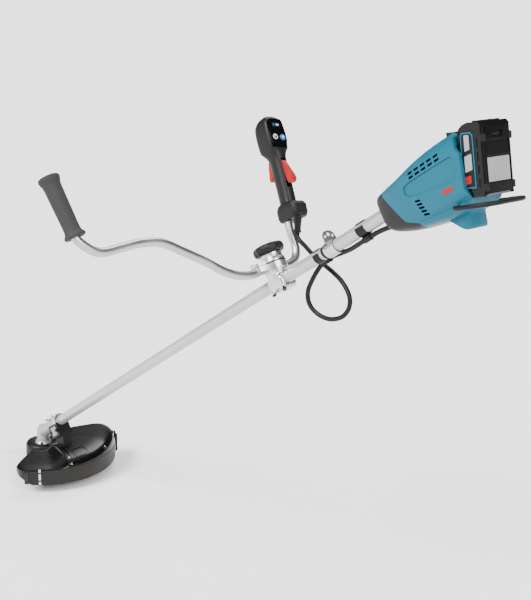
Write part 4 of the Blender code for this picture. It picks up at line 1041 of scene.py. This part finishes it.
def hanger_and_clips():
    dress("hanger", "bright", 0.4, 30)
    place = axes(at(HANGER_S, 0, 0), Y, U)

    def ridges(a, r, z):
        return r - (0.35 if r > 15 and int((z + 30) / 2.5) % 2 else 0.0)
    profile = [(TUBE_R + 0.3, -26)] + [(TUBE_R + 1.3, -26 + 1.25 * k) for k in range(34)]
    profile += [(TUBE_R + 0.3, 15.5)]
    piece(lathe("hanger_sleeve_skin", profile, place, "rubber", 64, ridges), "frame", "hanger_sleeve")
    for i, s in enumerate((-11, 11), 1):
        screw_place = axes(at(HANGER_S + s * 0.6, -17.6, 4), U, -Y)
        socket_screw(f"hanger_screw_{i}", screw_place, 2.6, -1.4, 1.6, "frame", "steel")
    for i in (1, 2):
        dress(f"cable_clip_{i}", "rubber", 0.4, 30)


def cable():
    path = [at(*p) for p in curve_through(CABLE_ROUTE, 7)]
    tube = sweep("cable_skin", [p / MM for p in path], JACKET_R, Matrix.Identity(4), "rubber", 24)
    for poly in tube.data.polygons:
        poly.use_smooth = True
    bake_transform(tube)
    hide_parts("cable")


# ---------------------------------------------------------------- motor housing
HOUSING = [(363, 20, -15, 17), (367, 30, -28, 25), (375, 35, -41, 32), (393, 37.5, -52, 38),
        (415, 40, -61, 43), (441, 43, -69, 47), (490, 51, -79, 52), (531, 55.5, -87, 54),
        (565, 57, -89, 54.5), (600, 57, -88, 55), (640, 57, -86, 55)]


def shelf_h(s):
    """Height of the crease along the side, which drops towards the rear."""
    return -59.5 - 0.105 * (s - 455)


def housing_ring(s, top, low, w, inset, power=4.2, count=132):
    pts = []
    for y, h in squircle(0, w - inset, (top - low) / 2 - inset, power, count):
        h += (top + low) / 2
        if s > 452 and not inset:
            above = h - shelf_h(s)
            depth = max(0.0, 1 - above / 9.0) if above > 0 else max(0.0, 1 + above / 1.6)
            y *= 1 - 0.062 * depth * min(1.0, (s - 452) / 22.0)
        pts.append((s, y, h))
    return pts


def housing_form(name, inset, mat="hollow"):
    rows = between_rows(HOUSING, 4)
    if inset:
        rows = [(366, 24, -20, 20)] + [r for r in rows if r[0] > 374]
    return loft(name, [housing_ring(s, t, b, w, inset) for s, t, b, w in rows], SHAFT, mat)


def housing():
    front = rounded([(391, 90), (391, 37), (434, -47), (463, -62), (465, -160), (320, -160), (320, 90)], 3)
    rear = rounded([(465.4, -160), (463.4, -61.9), (434.4, -46.9), (391.4, 37), (391.4, 90), (608, 90),
            (608, 60), (616.5, 43), (613, 20), (618, 8), (598, -53), (602, -72), (590, -84), (590, -160)],
            3)
    boot = keep(housing_form("boot_skin", 0.0, "grey"), prism("front", front, -90, 90, SHAFT, "grey"))
    boot = cut(boot, housing_form("inner", HOUSING_WALL),
            rod("bore", TUBE_R + 0.35, 350, 376, ALONG, "hollow", 64),
            rod("entry", JACKET_R + 0.8, -14, 22, axes(at(368, 0, -30), Y, U * 0.982 - N * 0.19)))
    piece(boot, "frame", "boot", edge=0.6, smooth=32)

    shell = keep(housing_form("housing", 0.0, "teal"), prism("rear", rear, -90, 90, SHAFT, "teal"))
    foot = prism("foot",
            rounded([(511, -78), (540, -112), (557, -119.5), (567, -87), (590, -80), (560, -66)], 7), -26,
            26, SHAFT, "teal")
    shell = join(shell, soften(foot, 3.0, 50))
    inner = cut(housing_form("inner", HOUSING_WALL), block("far", (-6, 200), (-90, 90), (-90, 230), PACK))
    tools = [inner, block("bay", (28.3, 120), (-45.3, 45.3), (0, 200), PACK),
            block("rail_room", (-2, 29), (-28, 28), (0, 200), PACK),
            block("window", (-20, 10), (-25, 25), (12, 48), PACK),
            prism("hollow", [(530, -92), (541, -109), (553, -114), (559, -92)], -22, 22, SHAFT),
            prism("link", [(526, -70), (560, -96), (548, -100), (516, -78)], -8, 8, SHAFT)]
    shell = cut(shell, *tools)
    panel = rounded([(461, -2), (464, 14), (478, 16.5), (598, 15), (604, 3), (590, -29), (572, -28),
            (510, -17), (472, -10)], 7, 6)
    recess = cut(prism("recess", panel, -80, 80, SHAFT, "teal"), housing_form("core", 1.9, "teal"))
    shell = cut(shell, recess)
    vents = []
    for side in (-1, 1):
        for k in range(5):
            s = 493 + 18.3 * k
            for h in (31, 22.5):
                lean = rounded([(s - 6.8, h - 2.2), (s + 5.6, h - 2.2), (s + 6.8, h + 2.2),
                        (s - 5.6, h + 2.2)], 0.7, 2)
                vents.append(prism("vent", lean, *on_side(side, 40, 64), SHAFT))
            s, h = 486 + 1.7 * k, -24 - 7.8 * k
            lean = rounded([(s - 6.6, h - 0.8), (s + 6.8, h - 4.0), (s + 6.8, h + 0.2),
                    (s - 6.6, h + 3.4)], 0.7, 2)
            vents.append(prism("vent", lean, *on_side(side, 36, 64), SHAFT))
    vents += [rod("socket", 5.2, 45 * k - 15, 45 * k + 15, axes(at(566, 0, -76.4), N, Y), "hollow", 32)
            for k in (-1, 1)]
    shell = cut(shell, gather("vents", *vents))
    for half, side in zip(halves(shell, ("housing_skin_left", "housing_skin_right"), (300, 700), 90,
            (-200, 120), SHAFT, "teal"), ("left", "right")):
        piece(half, "frame", f"housing_{side}", edge=0.5, smooth=30)
    badge = prism("side_badge", rounded([(549, -42.5), (575, -45), (577, -36), (550, -33)], 2.5), -55.0,
            -50.0, SHAFT, "red")
    piece(badge, "frame", edge=0.3, slot="red_plastic")
    for i, (s, h) in enumerate(((418, 26), (478, 37), (580, 40), (578, 10), (488, -70)), 1):
        w = next(r[3] for r in HOUSING if r[0] >= s) - 3.2
        socket_screw(f"housing_screw_{i}", axes(at(s, w, h), U, Y), 3.4, -3, 1.0, "frame", "black_steel")

    for node, mat in (("motor_stator", "copper"), ("motor_mount", "cast"), ("motor_rotor", "black_steel"),
            ("controller_box", "matte_black"), ("battery_cradle", "matte_black")):
        dress(node, mat, 0.3)
    half = [(566, 46, -76.4), (566, 57.5, -76.4), (569, 63.5, -77.4), (578, 66, -80.5), (606, 65.5, -90),
            (629, 58, -98), (640, 42, -102)]
    route = [(s, -y, h) for s, y, h in half] + [(643, 0, -103)] + half[::-1]
    piece(sweep("battery_loop_skin", curve_through(route, 5), 4.6, SHAFT, "rubber", 28), "frame",
            "battery_loop")


# ---------------------------------------------------------------- battery pack
def battery():
    w, t, tall = CASE_HALF_W, CASE_T, CASE_TOP
    outline = rounded([(29.4, -w), (t - 4, -w), (t, -w + 5), (t, w - 5), (t - 4, w), (29.4, w)], 4, 5)
    case = post("battery_case_skin", outline, 1.0, tall, PACK, "black")
    tongue = post("tongue", [(3.2, -25.8), (8.4, -25.8), (8.4, -21.4), (31, -21.4), (31, 21.4),
            (8.4, 21.4), (8.4, 25.8), (3.2, 25.8)], 1.0, 100.0, PACK, "matte_black")
    case = join(case, tongue)
    tools = [block("slit", (2, 8), (y - 1.2, y + 1.2), (-2, 50), PACK) for y in (-13, 13)]
    tools += [block("pocket", (PACK_T - 13.5, t + 5), (-16, 16), (107, 118.6), PACK),
            prism("trim", [(t + 4, tall - 14), (t - 11, tall + 2), (t + 4, tall + 2)], -60, 60, PACK,
            "black"), prism("trim", [(26, 108), (29.4, 112), (31, 119), (35, 126), (43, 132.5),
            (54, 136.5), (54, 142), (26, 142)], -60, 60, PACK, "black"),
            prism("trim", [(t + 4, -4), (t + 4, 10), (t - 8, -4)], -60, 60, PACK, "black")]
    # panels sunk in the back and in both sides, and flutes down the sides
    tools += [block("sunk", (t - 1.5, t + 4), (-36, 36), zs, PACK, "black") for zs in ((24, 73), (77, 102))]
    for y in (-1, 1):
        low, high = on_side(y, w - 1.2, w + 2)
        tools.append(block("sunk", (35, 68), (low, high), (13, 121), PACK, "black"))
        tools += [block("flute", (73, 76.4), (low, high), (18 + 24 * k, 34 + 24 * k), PACK)
                for k in range(4)]
    piece(cut(case, *tools), "battery", "battery_case", edge=0.8, smooth=32)

    extras = []
    for y in (-1, 1):
        for z in (10, 100):
            low, high = on_side(y, w - 9, w + 0.6)
            bumper = post("bumper",
                    rounded([(t - 9, low), (t + 1.6, low), (t + 1.6, high), (t - 9, high)], 3), z, z + 14,
                    PACK, "rubber")
            extras.append(bumper)
    piece(gather("battery_bumpers", *extras), "battery", edge=0.8, slot="matte_black")
    caps = [block("cap_rib", (56, 74), (y - 3, y + 3), (tall - 1, tall + 2.4), PACK, "matte_black")
            for y in (-27, 0, 27)]
    piece(gather("battery_top_ribs", *caps), "battery", edge=0.7, slot="matte_black")
    for i, y in enumerate((-1, 1), 1):
        low, high = on_side(y, w - 1.3, w - 0.3)
        frame_plate = prism(f"label_frame_{i}",
                rounded([(37, 16.5), (66, 16.5), (66, 112), (61, 119), (41, 119), (37, 113)], 2), low,
                high, PACK, "teal")
        low, high = on_side(y, w - 1.0, w - 0.05)
        field = prism("field",
                rounded([(39.5, 19.5), (63.5, 19.5), (63.5, 111), (59.5, 116.5), (42.5, 116.5),
                (39.5, 112)], 2), low, high, PACK, "matte_black")
        piece(frame_plate, "battery", edge=0.2, slot="teal_plastic")
        field.name = f"label_field_{i}"
        piece(field, "battery", edge=0.2, slot="matte_black")
        low, high = on_side(y, w - 0.4, w + 0.25)
        stripes = [prism("stripe", rounded([(46, 84), (57, 88), (57, 114), (46, 114)], 1.5), low, high,
                PACK, "label"), prism("stripe", rounded([(44, 46), (60, 51), (60, 80), (44, 75)], 1.5),
                low, high, PACK, "label")]
        piece(gather(f"label_stripes_{i}", *stripes), "battery", slot="white_plastic")
        dot = prism(f"label_dot_{i}", rounded([(42, 23), (56, 26), (56, 41), (42, 38)], 3), low, high,
                PACK, "red")
        piece(dot, "battery", slot="red_plastic")
    plate = block("rear_label", (t - 1.4, t - 0.9), (-33, 33), (26, 70), PACK, "label")
    piece(plate, "battery", slot="white_plastic")
    dress("battery_release", "matte_black", 0.9)
    ridges = [block("ridge", (PACK_T + 0.9, PACK_T + 1.9), (-11, 11), (z, z + 1.1), PACK, "matte_black")
            for z in (110, 112.4, 114.8)]
    piece(gather("release_ridges", *ridges), "release", edge=0.25, slot="grey_plastic")


# ---------------------------------------------------------------- floor, light and camera
def studio():
    floor_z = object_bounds()[0].z - 0.001
    half = 90.0
    data = bpy.data.meshes.new("floor")
    data.from_pydata([(x, y, floor_z) for x, y in ((-half, -half), (half, -half), (half, half),
            (-half, half))], [], [(0, 1, 2, 3)])
    data.materials.append(surface("pale_floor", (0.90, 0.90, 0.90), 0.85, 0.0, 60, 0.02, 0.01).mat)
    floor = new_object("floor", data)
    floor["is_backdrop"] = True

    world = bpy.data.worlds.new("studio")
    bpy.context.scene.world = world
    world.use_nodes = True
    tree = world.node_tree
    back = tree.nodes["Background"]
    back.inputs["Color"].default_value = (1, 1, 1, 1)
    # a dim room with three large soft boxes, which the metal and the black plastic mirror, and a
    # light band at the horizon
    place = tree.nodes.new("ShaderNodeTexCoord").outputs["Generated"]
    level = None
    for towards, start, end, power in (((-0.35, -0.85, 0.40), 0.78, 0.90, 1.1),
            ((0.95, -0.15, 0.30), 0.84, 0.94, 1.2), ((-0.25, 0.30, 0.92), 0.80, 0.93, 0.9),
            ((0, 0, 1), 0.12, 0.05, 0.9)):
        dot = tree.nodes.new("ShaderNodeVectorMath")
        dot.operation = "DOT_PRODUCT"
        tree.links.new(place, dot.inputs[0])
        dot.inputs[1].default_value = Vector(towards).normalized()
        share = tree.nodes.new("ShaderNodeMapRange")
        tree.links.new(dot.outputs["Value"], share.inputs["Value"])
        for socket, value in (("From Min", start), ("From Max", end), ("To Min", 0.0), ("To Max", power)):
            share.inputs[socket].default_value = value
        add = tree.nodes.new("ShaderNodeMath")
        add.inputs[1].default_value = 0.10
        if level is not None:
            tree.links.new(level, add.inputs[1])
        tree.links.new(share.outputs["Result"], add.inputs[0])
        level = add.outputs[0]
    tree.links.new(level, back.inputs["Strength"])

    def lamp(name, towards, power, spread):
        light = bpy.data.lights.new(name, "SUN")
        light.energy, light.angle = power, math.radians(spread)
        obj = new_object(name, light)
        obj.rotation_mode = "QUATERNION"
        obj.rotation_quaternion = Vector(towards).to_track_quat("-Z", "Y")
    lamp("key", (0.10, 0.75, -0.80), 6.4, 30)
    lamp("fill", (-0.75, 0.10, -0.55), 3.4, 40)
    lamp("back", (0.35, -0.55, -0.85), 1.6, 30)

    data = bpy.data.cameras.new("camera")
    data.sensor_width, data.lens = 36.0, 70.5
    cam = new_object("camera", data)
    right, up, back_axis = (0.68600, 0.72738, 0.01768), (-0.20370, 0.16867, 0.96440), (0.69851, -0.66518,
            0.26387)
    m = Matrix((right, up, back_axis)).transposed().to_4x4()
    m.translation = CLAMP + Vector((1.8175, -1.7772, 0.6504))
    cam.matrix_world = m
    bpy.context.scene.camera = cam


shaft_and_gear_case()
cutting_head()
guard()
handle_clamp()
clamp_knob()
handlebar()
control_grip()
hanger_and_clips()
cable()
housing()
battery()
studio()
